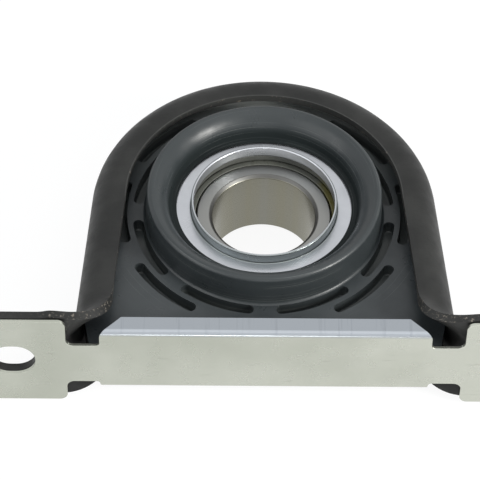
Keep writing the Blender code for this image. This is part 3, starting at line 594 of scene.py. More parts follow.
@dataclass(frozen=True)
class Nitrile:
    """Greasy olive rubber of the bearing's seals."""

    base: Colour = (0.095, 0.100, 0.093)
    film: Colour = (0.100, 0.090, 0.028)
    roughness: float = 0.35
    smears: Grain = Grain(420.0, 4.0, 0.6)
    sheen: Fade = Fade(0.3, 0.7, 0.22, 0.5)
    smear_relief: Relief = Relief(0.00008, 0.5)

    def build(self) -> bpy.types.Material:
        """Return the finished material."""
        recipe = Recipe("nitrile", self.base, self.roughness)
        smears = recipe.noise(self.smears)
        recipe.colour(recipe.blended(recipe.grease(), self.base, self.film))
        recipe.roughen(recipe.faded(smears, self.sheen))
        recipe.bump(self.smear_relief, smears)
        return recipe.material


@dataclass(frozen=True)
class PlainSteel:
    """Steel of the cage, its rivets and the balls, with an oil film."""

    name: str
    base: Colour
    film: Colour
    roughness: float
    dulling: float = 0.12
    oil: Grain = Grain(350.0)
    oiled: Fade = Fade(0.35, 0.75)
    texture: Relief = Relief(0.00001, 0.4, Grain(2400.0, 2.0))

    def build(self) -> bpy.types.Material:
        """Return the finished material."""
        recipe = Recipe(self.name, self.base, self.roughness, 1.0)
        oil = recipe.noise(self.oil)
        recipe.colour(recipe.blended(recipe.faded(oil, self.oiled), self.base, self.film))
        recipe.roughen(recipe.faded(oil, Fade(0.3, 0.7, self.roughness, self.roughness + self.dulling)))
        recipe.bump(self.texture)
        return recipe.material


# ----- Mesh tools


@dataclass(frozen=True)
class Corner:
    """A corner of a turned outline: its radius, its height and how far it is rounded."""

    radius: float
    height: float
    rounding: float = 0.0
    segments: int = 4


def turn(corners: Sequence[Corner], steps: int = 128) -> bmesh.types.BMesh:
    """Spin a closed outline about the bearing's axis and round its corners.

    Args:
        corners: The outline's corners in order.
        steps: Facets round the axis.

    Returns:
        A closed mesh in the frame's place.
    """
    bm = bmesh.new()
    verts = [bm.verts.new((corner.radius, 0.0, corner.height)) for corner in corners]
    edges = [bm.edges.new((verts[index - 1], verts[index])) for index in range(len(verts))]
    bmesh.ops.spin(bm, geom=verts + edges, axis=(0.0, 0.0, 1.0), angle=math.tau, steps=steps,
                   use_merge=True)
    bmesh.ops.remove_doubles(bm, verts=bm.verts[:], dist=SAME_PLACE)
    bmesh.ops.recalc_face_normals(bm, faces=bm.faces[:])
    for index, corner in enumerate(corners):
        if corner.rounding <= 0.0:
            continue
        before = corners[index - 1]
        after = corners[(index + 1) % len(corners)]
        inward = Vector((corner.radius - before.radius, corner.height - before.height))
        outward = Vector((after.radius - corner.radius, after.height - corner.height))
        offset = corner.rounding * math.tan(inward.angle(outward) / 2.0)
        round_edges(bm, lambda edge: all(is_on_ring(vert, corner) for vert in edge.verts), offset,
                    corner.segments)
    bmesh.ops.translate(bm, verts=bm.verts[:], vec=(0.0, AXIS_HEIGHT, 0.0))
    return bm


def is_on_ring(vert: bmesh.types.BMVert, corner: Corner) -> bool:
    """Tell whether a vertex lies on the ring that a corner has swept."""
    distance = math.hypot(vert.co.x, vert.co.y)
    return max(abs(distance - corner.radius), abs(vert.co.z - corner.height)) < SAME_CORNER


def draped(rows: Sequence[Sequence[Point]]) -> bmesh.types.BMesh:
    """Drape a grid over rows of points.

    Args:
        rows: Rows of equal length; each gives the places of one line of the grid.

    Returns:
        An open sheet of quads.
    """
    bm = bmesh.new()
    bmesh.ops.create_grid(bm, x_segments=len(rows) - 1, y_segments=len(rows[0]) - 1, size=1.0)
    across = sorted({round(vert.co.x, 5) for vert in bm.verts})
    along = sorted({round(vert.co.y, 5) for vert in bm.verts})
    for vert in bm.verts:
        row = rows[across.index(round(vert.co.x, 5))]
        vert.co = row[along.index(round(vert.co.y, 5))]
    return bm


def raised(outline: Sequence[Point], way: Point) -> bmesh.types.BMesh:
    """Raise a flat outline into a solid.

    Args:
        outline: Corners of the flat face.
        way: How far and which way the face is raised.

    Returns:
        A closed mesh.
    """
    bm = bmesh.new()
    face = bm.faces.new([bm.verts.new(point) for point in outline])
    grown = bmesh.ops.extrude_face_region(bm, geom=[face])
    moved = [item for item in grown["geom"] if isinstance(item, bmesh.types.BMVert)]
    bmesh.ops.translate(bm, verts=moved, vec=way)
    bmesh.ops.recalc_face_normals(bm, faces=bm.faces[:])
    return bm


def round_edges(bm: bmesh.types.BMesh, wanted: Callable[[bmesh.types.BMEdge], bool], size: float,
                segments: int) -> None:
    """Round the edges that a test picks.

    Args:
        bm: The mesh to work on.
        wanted: Test that picks the edges.
        size: Width of the rounding.
        segments: Facets of the rounding.
    """
    picked = [edge for edge in bm.edges if wanted(edge)]
    bmesh.ops.bevel(bm, geom=picked, offset=size, offset_type='OFFSET', affect='EDGES',
                    segments=segments, profile=0.5, material=-1)


def placed(name: str, bm: bmesh.types.BMesh) -> bpy.types.Object:
    """Turn a bmesh into an object of the scene and free it."""
    mesh = bpy.data.meshes.new(name)
    bm.to_mesh(mesh)
    bm.free()
    item = bpy.data.objects.new(name, mesh)
    bpy.context.scene.collection.objects.link(item)
    return item


def baked(item: bpy.types.Object, helpers: Sequence[bpy.types.Object] = ()) -> bmesh.types.BMesh:
    """Return a scratch object's finished mesh and remove the object.

    Args:
        item: The object with its modifiers.
        helpers: Objects that the modifiers use; they are removed too.

    Returns:
        The finished mesh.
    """
    bpy.context.view_layer.update()
    evaluated = item.evaluated_get(bpy.context.evaluated_depsgraph_get())
    result = bmesh.new()
    result.from_mesh(evaluated.to_mesh())
    for spent in (item, *helpers):
        mesh = spent.data
        bpy.data.objects.remove(spent, do_unlink=True)
        bpy.data.meshes.remove(mesh)
    return result


def merged(first: bmesh.types.BMesh,
           steps: Iterable[tuple[str, bmesh.types.BMesh]]) -> bmesh.types.BMesh:
    """Join and cut closed meshes.

    Args:
        first: The mesh to start from.
        steps: Pairs of an operation, UNION or DIFFERENCE, and the mesh that it uses.

    Returns:
        The resulting mesh.
    """
    bmesh.ops.recalc_face_normals(first, faces=first.faces[:])
    target = placed("scratch", first)
    helpers = []
    for operation, bm in steps:
        bmesh.ops.recalc_face_normals(bm, faces=bm.faces[:])
        helpers.append(placed("scratch", bm))
        modifier = target.modifiers.new(operation, 'BOOLEAN')
        modifier.operation = operation
        modifier.solver = 'EXACT'
        modifier.object = helpers[-1]
    result = baked(target, helpers)
    bmesh.ops.remove_doubles(result, verts=result.verts[:], dist=SAME_PLACE)
    return result


def add_piece(name: str, bm: bmesh.types.BMesh, material: bpy.types.Material, body: Body,
              nodes: Sequence[str], edge: float = 0.0, segments: int = 3,
              limit: float = 35.0) -> None:
    """Turn a mesh into a piece that rides on a body and stands for CAD nodes.

    Args:
        name: The piece's name.
        bm: Its mesh, in the frame's place.
        material: Its finish.
        body: The body that carries it.
        nodes: The CAD nodes that it replaces.
        edge: Width of the rounding on its sharp edges, or 0 for none.
        segments: Facets of that rounding.
        limit: Angle in degrees past which an edge is rounded.
    """
    piece = placed(name, bm)
    piece.data.shade_smooth()
    piece.data.materials.append(material)
    if edge > 0.0:
        rounding = piece.modifiers.new("edges", 'BEVEL')
        rounding.width = edge
        rounding.segments = segments
        rounding.limit_method = 'ANGLE'
        rounding.angle_limit = math.radians(limit)
        rounding.harden_normals = False
    weighting = piece.modifiers.new("normals", 'WEIGHTED_NORMAL')
    weighting.keep_sharp = True
    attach(piece, body.value)
    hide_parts(*nodes)
    LOG.info("%s rides on %s and stands for %s", name, body.value, ", ".join(nodes))


def dress_node(name: str, material: bpy.types.Material) -> None:
    """Give a carried-over CAD node its finish."""
    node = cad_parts[name]
    node.data.materials.clear()
    node.data.materials.append(material)
    LOG.info("%s keeps its CAD shape", name)


# ----- Sub-assemblies


@dataclass
class Station:
    """A stop along the pressed strip: its place, outward normal, unroll share and half depth."""

    place: Vector
    normal: Vector
    share: float
    half_depth: float


@dataclass
class StripPath:
    """The way of the pressed strip over the arch, down its legs and out along its feet."""

    arch_radius: float = 0.067
    flare: float = math.radians(4.6)
    foot_top: float = 0.0047
    foot_fillet: float = 0.014
    unroll_height: float = 0.0265
    unroll_foot_angle: float = math.radians(15.0)
    foot_half_depth: float = 0.023
    foot_corner: float = 0.005
    foot_end: float = 0.1144
    arch_steps: int = 60
    leg_steps: int = 8
    unroll_steps: int = 10
    fillet_steps: int = 26
    corner_steps: int = 6

    def half(self, inset: float = 0.0, lowest: float | None = None) -> list[Station]:
        """Return the stations of the right half from the top of the arch.

        Args:
            inset: How far inside the strip's outer face the path runs.
            lowest: Height at which the leg stops, or None for the whole strip.

        Returns:
            The stations in order.
        """
        radius = self.arch_radius - inset
        stations = []
        for index in range(self.arch_steps + 1):
            angle = QUARTER_TURN - (QUARTER_TURN - self.flare) * index / self.arch_steps
            normal = Vector((math.cos(angle), math.sin(angle)))
            stations.append(Station(Vector((0.0, AXIS_HEIGHT)) + normal * radius, normal, 0.0,
                                    self.foot_half_depth))
        top = stations[-1].place
        normal = stations[-1].normal
        way = Vector((math.sin(self.flare), -math.cos(self.flare)))
        if lowest is not None:
            run = (top.y - lowest) / math.cos(self.flare)
            for index in range(1, self.leg_steps + 1):
                stations.append(Station(top + way * run * index / self.leg_steps, normal, 0.0,
                                        self.foot_half_depth))
            return stations
        return stations + self.leg_and_foot(top, normal, way)

    def leg_and_foot(self, top: Vector, normal: Vector, way: Vector) -> list[Station]:
        """Return the stations of the right leg, its fillet and its foot."""
        fillet_turn = QUARTER_TURN - self.flare
        fillet_top = self.foot_top + self.foot_fillet * (1.0 - math.sin(self.flare))
        folded_run = (top.y - self.unroll_height) / math.cos(self.flare)
        leg_run = (top.y - fillet_top) / math.cos(self.flare)
        unroll = leg_run - folded_run + self.foot_fillet * (fillet_turn - self.unroll_foot_angle)
        stations = []
        for index in range(1, self.leg_steps + 1):
            run = folded_run * index / self.leg_steps
            stations.append(Station(top + way * run, normal, 0.0, self.foot_half_depth))
        for index in range(1, self.unroll_steps + 1):
            run = (leg_run - folded_run) * index / self.unroll_steps
            stations.append(Station(top + way * (folded_run + run), normal, run / unroll,
                                    self.foot_half_depth))
        centre = top + way * leg_run + normal * self.foot_fillet
        for index in range(1, self.fillet_steps + 1):
            turned = fillet_turn * index / self.fillet_steps
            angle = HALF_TURN + self.flare + turned
            spoke = Vector((math.cos(angle), math.sin(angle)))
            share = min(1.0, (leg_run - folded_run + self.foot_fillet * turned) / unroll)
            stations.append(Station(centre + spoke * self.foot_fillet, -spoke, share,
                                    self.foot_half_depth))
        up = Vector((0.0, 1.0))
        start = stations[-1].place.x
        straight = self.foot_end - self.foot_corner - start
        for index in range(1, self.leg_steps):
            x = start + straight * index / self.leg_steps
            stations.append(Station(Vector((x, self.foot_top)), up, 1.0, self.foot_half_depth))
        for index in range(self.corner_steps + 1):
            angle = QUARTER_TURN * index / self.corner_steps
            x = self.foot_end - self.foot_corner * (1.0 - math.sin(angle))
            depth = self.foot_half_depth - self.foot_corner * (1.0 - math.cos(angle))
            stations.append(Station(Vector((x, self.foot_top)), up, 1.0, depth))
        return stations

    @staticmethod
    def both_sides(rows: Sequence[Sequence[Point]]) -> list[list[Point]]:
        """Return rows from the left end to the right end, given those of the right half."""
        left = [[(-x, y, z) for x, y, z in row] for row in reversed(rows[1:])]
        return left + [list(row) for row in rows]


@dataclass
class Bracket:
    """The pressed strip: an arch of C section that unrolls into two flat feet."""

    path: StripPath
    slots: BoltSlots
    thickness: float = 0.0032
    web_half_width: float = 0.005
    bend_radius: float = 0.010
    lip_length: float = 0.0035
    web_steps: int = 2
    bend_steps: int = 9
    lip_steps: int = 3
    edge: float = 0.00045

    def row(self, station: Station) -> list[Point]:
        """Return the outer face's line across the strip at a station.

        The line's points keep their share of the flat width, so that none of them meet where the
        strip has unrolled.
        """
        share = station.share
        bend = QUARTER_TURN * (1.0 - share * share * (3.0 - 2.0 * share))
        middle = self.bend_radius - self.thickness / 2.0
        folded = self.web_half_width + middle * QUARTER_TURN + self.lip_length
        reach = folded + (station.half_depth - folded) * share
        stops = [self.web_half_width * index / self.web_steps for index in range(self.web_steps)]
        stops += [self.web_half_width + middle * QUARTER_TURN * index / self.bend_steps
                  for index in range(self.bend_steps)]
        stops += [folded - self.lip_length * (1.0 - index / self.lip_steps)
                  for index in range(self.lip_steps + 1)]
        half = []
        for stop in stops:
            run = stop * reach / folded
            angle = min(max(run - self.web_half_width, 0.0) / middle, bend)
            lip = max(run - self.web_half_width - middle * bend, 0.0)
            flat = min(run, self.web_half_width)
            half.append((self.bend_radius * (1.0 - math.cos(angle)) + lip * math.sin(bend),
                         flat + self.bend_radius * math.sin(angle) + lip * math.cos(bend)))
        across = [(inward, -z) for inward, z in reversed(half[1:])] + half
        place, normal = station.place, station.normal
        return [(place.x - normal.x * inward, place.y - normal.y * inward, z) for inward, z in across]

    def shell(self) -> bmesh.types.BMesh:
        """Return the strip as a closed shell, its cut edges marked for wear."""
        rows = self.path.both_sides([self.row(station) for station in self.path.half()])
        bm = draped(rows)
        top = max(bm.faces, key=lambda face: face.calc_center_median().y)
        top.normal_update()
        if top.normal.y < 0.0:
            bmesh.ops.reverse_faces(bm, faces=bm.faces[:])
        mark = bm.verts.layers.float.new(EDGE_MARK)
        for vert in bm.verts:
            vert[mark] = 1.0 if vert.is_boundary else 0.0
        sheet = placed("scratch", bm)
        shell = sheet.modifiers.new("wall", 'SOLIDIFY')
        shell.thickness = self.thickness
        shell.offset = -1.0
        shell.use_even_offset = True
        return baked(sheet)

    def build(self) -> None:
        """Build the bracket with its bolt slots."""
        bm = merged(self.shell(), [('DIFFERENCE', slot) for slot in self.slots.cutters()])
        add_piece("bracket_strip", bm, CoatedSteel().build(), Body.HOUSING,
                  ["bracket"], self.edge)


@dataclass
class BoltSlots:
    """The two bolt slots through the plate's ears and the bracket's feet."""

    half_spacing: float = 0.0947
    length: float = 0.0172
    width: float = 0.016
    reach: float = 0.012
    round_share: float = 0.485
    round_segments: int = 16

    def cutters(self) -> list[bmesh.types.BMesh]:
        """Return one round-ended cutter for each slot."""
        made = []
        for side in (-1.0, 1.0):
            bm = bmesh.new()
            bmesh.ops.create_cube(bm, size=1.0)
            bmesh.ops.scale(bm, verts=bm.verts[:], vec=(self.length, 2.0 * self.reach, self.width))
            round_edges(bm, lambda edge: abs(edge.verts[0].co.y - edge.verts[1].co.y) > self.reach,
                        self.width * self.round_share, self.round_segments)
            bmesh.ops.translate(bm, verts=bm.verts[:], vec=(side * self.half_spacing, 0.0, 0.0))
            made.append(bm)
        return made


@dataclass
class BasePlate:
    """The folded sheet under the bracket."""

    slots: BoltSlots
    half_length: float = 0.115
    thickness: float = 0.0012
    ear_front: float = 0.0226
    ear_rear: float = 0.0235
    ear_corner: float = 0.005
    mid_half_depth: float = 0.0163
    flange_half_length: float = 0.062
    flange_height: float = 0.008
    end_slope: float = 1.0
    bend_radius: float = 0.0024
    notch_width: float = 0.0125
    notch_front: float = 0.0088
    notch_rear: float = 0.0125
    notch_corner: float = 0.003
    bend_steps: int = 10
    corner_segments: int = 7
    edge: float = 0.00018

    @property
    def root(self) -> float:
        """Distance from the middle line to the start of a flange's bend."""
        return self.mid_half_depth - self.bend_radius

    def corners(self) -> list[tuple[float, float, float]]:
        """Return the flat outline's corners: x, z and rounding."""
        right = []
        for facing, notch, ear in ((1.0, self.notch_front, self.ear_front),
                                   (-1.0, self.notch_rear, self.ear_rear)):
            start = self.flange_half_length
            end = start + self.notch_width
            quarter = [(start, facing * self.root, 0.0),
                       (start, facing * notch, self.notch_corner / 2.0),
                       (end, facing * notch, self.notch_corner),
                       (end, facing * ear, self.notch_corner),
                       (self.half_length, facing * ear, self.ear_corner)]
            right += quarter if facing > 0.0 else quarter[::-1]
        return right + [(-x, z, size) for x, z, size in reversed(right)]

    def blank(self) -> bmesh.types.BMesh:
        """Return the flat blank with its corners rounded."""
        corners = self.corners()
        bm = raised([(x, 0.0, z) for x, z, _ in corners], (0.0, self.thickness, 0.0))
        for size in sorted({size for _, _, size in corners if size > 0.0}):
            spots = [(x, z) for x, z, own in corners if own == size]
            round_edges(bm, lambda edge: is_upright_at(edge, spots), size, self.corner_segments)
        return bm

    def fold(self, bm: bmesh.types.BMesh, side: float) -> None:
        """Fold one long edge of the blank up into a flange.

        Args:
            bm: The blank.
            side: 1 for the front flange and -1 for the rear one.
        """
        bm.faces.ensure_lookup_table()
        cut = Vector((0.0, self.thickness / 2.0, side * self.root))
        face = min(bm.faces, key=lambda item: (item.calc_center_median() - cut).length)
        turn_step = Matrix.Rotation(-side * QUARTER_TURN / self.bend_steps, 3, 'X')
        for _ in range(self.bend_steps):
            face = grow(bm, face)
            bmesh.ops.rotate(bm, verts=face.verts[:], matrix=turn_step,
                             cent=(0.0, self.bend_radius, side * self.root))
        face = grow(bm, face)
        rise = self.flange_height - face.calc_center_median().y
        bmesh.ops.translate(bm, verts=face.verts[:], vec=(0.0, rise, 0.0))
        inside = self.flange_half_length + SAME_CORNER
        for vert in bm.verts:
            if side * vert.co.z > self.root + SAME_CORNER and abs(vert.co.x) < inside:
                vert.co.x -= math.copysign(vert.co.y * self.end_slope, vert.co.x)

    def build(self) -> None:
        """Build the base plate with its flanges and bolt slots."""
        bm = self.blank()
        for side in (1.0, -1.0):
            self.fold(bm, side)
        bm = merged(bm, [('DIFFERENCE', slot) for slot in self.slots.cutters()])
        add_piece("base_sheet", bm, ZincSheet().build(), Body.HOUSING,
                  ["base_plate"], self.edge, 2)


def is_upright_at(edge: bmesh.types.BMEdge, spots: Sequence[tuple[float, float]]) -> bool:
    """Tell whether an edge stands upright at one of the (x, z) spots."""
    first, second = (vert.co.xz for vert in edge.verts)
    if (first - second).length > SAME_CORNER:
        return False
    return any((first - Vector(spot)).length < SAME_CORNER for spot in spots)


def grow(bm: bmesh.types.BMesh, face: bmesh.types.BMFace) -> bmesh.types.BMFace:
    """Extrude one face in place, drop the old one and return the new one."""
    made = bmesh.ops.extrude_face_region(bm, geom=[face])
    fresh = next(item for item in made["geom"] if isinstance(item, bmesh.types.BMFace))
    bmesh.ops.delete(bm, geom=[face], context='FACES_ONLY')
    return fresh


@dataclass
class Cushion:
    """The rubber cushion: web, rim in the bracket, dished boss and blind pockets.

    The boss's outline is its root, then a soft roll through the points of the dish, then the rest.
    """

    path: StripPath
    inset: float = 0.0035
    web_half_thickness: float = 0.005
    web_foot_height: float = 0.015
    web_foot_half_length: float = 0.0655
    web_bottom: float = 0.0015
    rim_depth: float = 0.0045
    rim_round: float = 0.0065
    rim_half_width: float = 0.005
    rim_inset: float = 0.0002
    rim_end_height: float = 0.030
    rim_steps: int = 8
    seat_radius: float = 0.0437
    pocket_width: float = 0.0042
    pocket_reach: float = 0.016
    pocket_steps: int = 10
    pocket_end_share: float = 0.96
    pocket_end_segments: int = 6
    pocket_floor_round: float = 0.0007
    inner_row_radius: float = 0.0490
    inner_row_span: float = math.radians(35.0)
    outer_row_radius: float = 0.0553
    outer_row_span: float = math.radians(33.0)
    pockets_per_turn: int = 8
    lowest_sine: float = -0.9
    membrane_half: float = 0.0006
    membrane_setback: float = 0.0011
    edge: float = 0.0004
    edge_limit: float = 40.0
    roll: tuple[tuple[float, float], ...] = ((0.0366, 0.0102), (0.0388, 0.0172), (0.0436, 0.0186))
    roll_steps: int = 12
    boss_root: list[Corner] = field(default_factory=lambda: [
        Corner(0.0340, 0.0084), Corner(0.0340, 0.0091, 0.0002, 2), Corner(0.0361, 0.0091, 0.0004, 3)])
    boss_rest: list[Corner] = field(default_factory=lambda: [
        Corner(0.0454, 0.0186, 0.0018, 8), Corner(0.0459, 0.0050, 0.0016, 5), Corner(0.0482, 0.00485),
        Corner(0.0482, -0.00485), Corner(0.0459, -0.0050, 0.0016, 5), Corner(0.0454, -0.0195, 0.0014, 5),
        Corner(0.0392, -0.0195, 0.0014, 5), Corner(0.0392, -0.0169), Corner(0.0416, -0.0169),
        Corner(0.0416, 0.0084, 0.0021, 5)])

    def boss(self) -> list[Corner]:
        """Return the boss's outline; its dish rises to the crest in one soft roll."""
        start, pull, end = (Vector(point) for point in self.roll)
        rising = []
        for index in range(self.roll_steps + 1):
            share = index / self.roll_steps
            point = start.lerp(pull, share).lerp(pull.lerp(end, share), share)
            rising.append(Corner(point.x, point.y))
        return self.boss_root + rising + self.boss_rest

    def web(self) -> bmesh.types.BMesh:
        """Return the web: an arch on straight legs, cut off at the plate."""
        stations = self.path.half(self.inset, self.web_foot_height)
        right = [(station.place.x, station.place.y) for station in stations]
        right.append((self.web_foot_half_length, self.web_bottom))
        outline = [(-x, y) for x, y in reversed(right[1:])] + right
        depth = self.web_half_thickness
        return raised([(x, y, -depth) for x, y in outline], (0.0, 0.0, 2.0 * depth))

    def rim(self) -> bmesh.types.BMesh:
        """Return the rim that fills the channel of the bracket."""
        sweep = math.acos(1.0 - self.rim_depth / self.rim_round)
        half = [(0.0, 0.0)]
        for index in range(self.rim_steps + 1):
            angle = sweep * index / self.rim_steps
            half.append((self.rim_round * (1.0 - math.cos(angle)),
                         self.rim_half_width + self.rim_round * math.sin(angle) - self.rim_inset))
        section = half + [(half[-1][0], 0.0)]
        section += [(inward, -z) for inward, z in reversed(half[1:])] + [half[0]]
        rows = []
        for station in self.path.half(self.inset, self.rim_end_height):
            place = station.place - station.normal * self.rim_inset
            rows.append([(place.x - station.normal.x * inward, place.y - station.normal.y * inward, z)
                         for inward, z in section])
        bm = draped(self.path.both_sides(rows))
        bmesh.ops.remove_doubles(bm, verts=bm.verts[:], dist=SAME_PLACE)
        bmesh.ops.holes_fill(bm, edges=[edge for edge in bm.edges if edge.is_boundary], sides=0)
        return bm

    def seat(self) -> bmesh.types.BMesh:
        """Return the cutter that opens the web for the boss."""
        bm = bmesh.new()
        bmesh.ops.create_cone(bm, cap_ends=True, segments=128, radius1=self.seat_radius,
                              radius2=self.seat_radius, depth=4.0 * self.web_half_thickness)
        bmesh.ops.translate(bm, verts=bm.verts[:], vec=(0.0, AXIS_HEIGHT, 0.0))
        return bm

    def pocket(self, radius: float, span: float, angle: float, facing: float) -> bmesh.types.BMesh:
        """Return one curved, round-ended cutter from a face of the web to its membrane.

        Args:
            radius: Radius of the pocket's middle line.
            span: Angle from end to end.
            angle: Angle of the pocket's middle.
            facing: 1 for the front face and -1 for the rear one.

        Returns:
            The cutter in the frame's place.
        """
        half = self.pocket_width / 2.0
        floor = facing * self.membrane_half - self.membrane_setback
        bm = bmesh.new()
        verts = [bm.verts.new((distance, 0.0, floor)) for distance in (radius - half, radius + half)]
        edge = bm.edges.new(verts)
        bmesh.ops.rotate(bm, verts=verts, matrix=Matrix.Rotation(angle - span / 2.0, 3, 'Z'))
        bmesh.ops.spin(bm, geom=verts + [edge], axis=(0.0, 0.0, 1.0), angle=span,
                       steps=self.pocket_steps)
        grown = bmesh.ops.extrude_face_region(bm, geom=bm.faces[:])
        moved = [item for item in grown["geom"] if isinstance(item, bmesh.types.BMVert)]
        bmesh.ops.translate(bm, verts=moved, vec=(0.0, 0.0, facing * self.pocket_reach - floor))
        bmesh.ops.recalc_face_normals(bm, faces=bm.faces[:])
        round_edges(bm, is_upright_corner, half * self.pocket_end_share, self.pocket_end_segments)
        round_edges(bm, lambda item: is_floor_rim(item, floor), self.pocket_floor_round, 3)
        bmesh.ops.translate(bm, verts=bm.verts[:], vec=(0.0, AXIS_HEIGHT, 0.0))
        return bm

    def pockets(self) -> list[bmesh.types.BMesh]:
        """Return all the pockets' cutters; the outer row has none below the axis."""
        made = []
        pitch = math.tau / self.pockets_per_turn
        for index in range(self.pockets_per_turn):
            for facing in (1.0, -1.0):
                made.append(self.pocket(self.inner_row_radius, self.inner_row_span,
                                        pitch * (index + 0.5), facing))
                if math.sin(pitch * index) > self.lowest_sine:
                    made.append(self.pocket(self.outer_row_radius, self.outer_row_span,
                                            pitch * index, facing))
        return made

    def build(self) -> None:
        """Build the cushion."""
        steps = [('DIFFERENCE', self.seat()), ('UNION', turn(self.boss())), ('UNION', self.rim())]
        steps += [('DIFFERENCE', pocket) for pocket in self.pockets()]
        add_piece("cushion_moulding", merged(self.web(), steps), MouldedRubber().build(), Body.HOUSING,
                  ["rubber_cushion"], self.edge, 2, self.edge_limit)


def is_upright_corner(edge: bmesh.types.BMEdge) -> bool:
    """Tell whether an edge runs along the axis between two faces that meet steeply."""
    first, second = (vert.co.xy for vert in edge.verts)
    return (first - second).length < SAME_PLACE and edge.calc_face_angle(0.0) > STEEP_EDGE


def is_floor_rim(edge: bmesh.types.BMEdge, floor: float) -> bool:
    """Tell whether an edge runs round the floor of a cutter."""
    level = all(abs(vert.co.z - floor) < SAME_PLACE for vert in edge.verts)
    return level and edge.calc_face_angle(0.0) > STEEP_EDGE


@dataclass
class BearingCup:
    """The drawn sleeve round the bearing, with its collar, and the felt ring inside it."""

    cup: list[Corner] = field(default_factory=lambda: [
        Corner(0.0274, 0.0125, 0.0004, 3), Corner(0.0284, 0.0125, 0.0004, 3),
        Corner(0.0284, 0.0081, 0.0006, 4), Corner(0.0413, 0.0081, 0.0018, 6),
        Corner(0.0413, -0.0166, 0.0010, 5), Corner(0.0378, -0.0166, 0.0004, 3),
        Corner(0.0378, -0.0156, 0.0004, 3), Corner(0.0403, -0.0156, 0.0002, 2),
        Corner(0.0403, 0.0071, 0.0008, 4), Corner(0.0274, 0.0071, 0.0016, 5)])
    felt: list[Corner] = field(default_factory=lambda: [
        Corner(0.0285, 0.0043, 0.0003, 2), Corner(0.0392, 0.0043, 0.0003, 2),
        Corner(0.0392, 0.0068, 0.0003, 2), Corner(0.0285, 0.0068, 0.0006, 3)])
    cup_steps: int = 160
    felt_steps: int = 96

    def build(self) -> None:
        """Build the cup and the felt ring."""
        add_piece("cup_sleeve", turn(self.cup, self.cup_steps), BrightZinc().build(), Body.HOUSING,
                  ["bearing_cup"])
        add_piece("felt_ring", turn(self.felt, self.felt_steps), OiledFelt().build(), Body.HOUSING,
                  ["felt_seal"])


@dataclass
class RearShield:
    """The pressed shield that closes the rear of the cup."""

    outline: list[Corner] = field(default_factory=lambda: [
        Corner(0.0400, -0.0143, 0.0002, 2), Corner(0.0280, -0.0143, 0.0010, 5),
        Corner(0.0280, -0.0188, 0.0003, 3), Corner(0.0290, -0.0188, 0.0003, 3),
        Corner(0.0290, -0.0153, 0.0004, 3), Corner(0.0400, -0.0153, 0.0002, 2)])

    def build(self) -> None:
        """Build the shield."""
        add_piece("shield_disc", turn(self.outline), BrightZinc("shield_zinc").build(), Body.HOUSING,
                  ["rear_shield"])


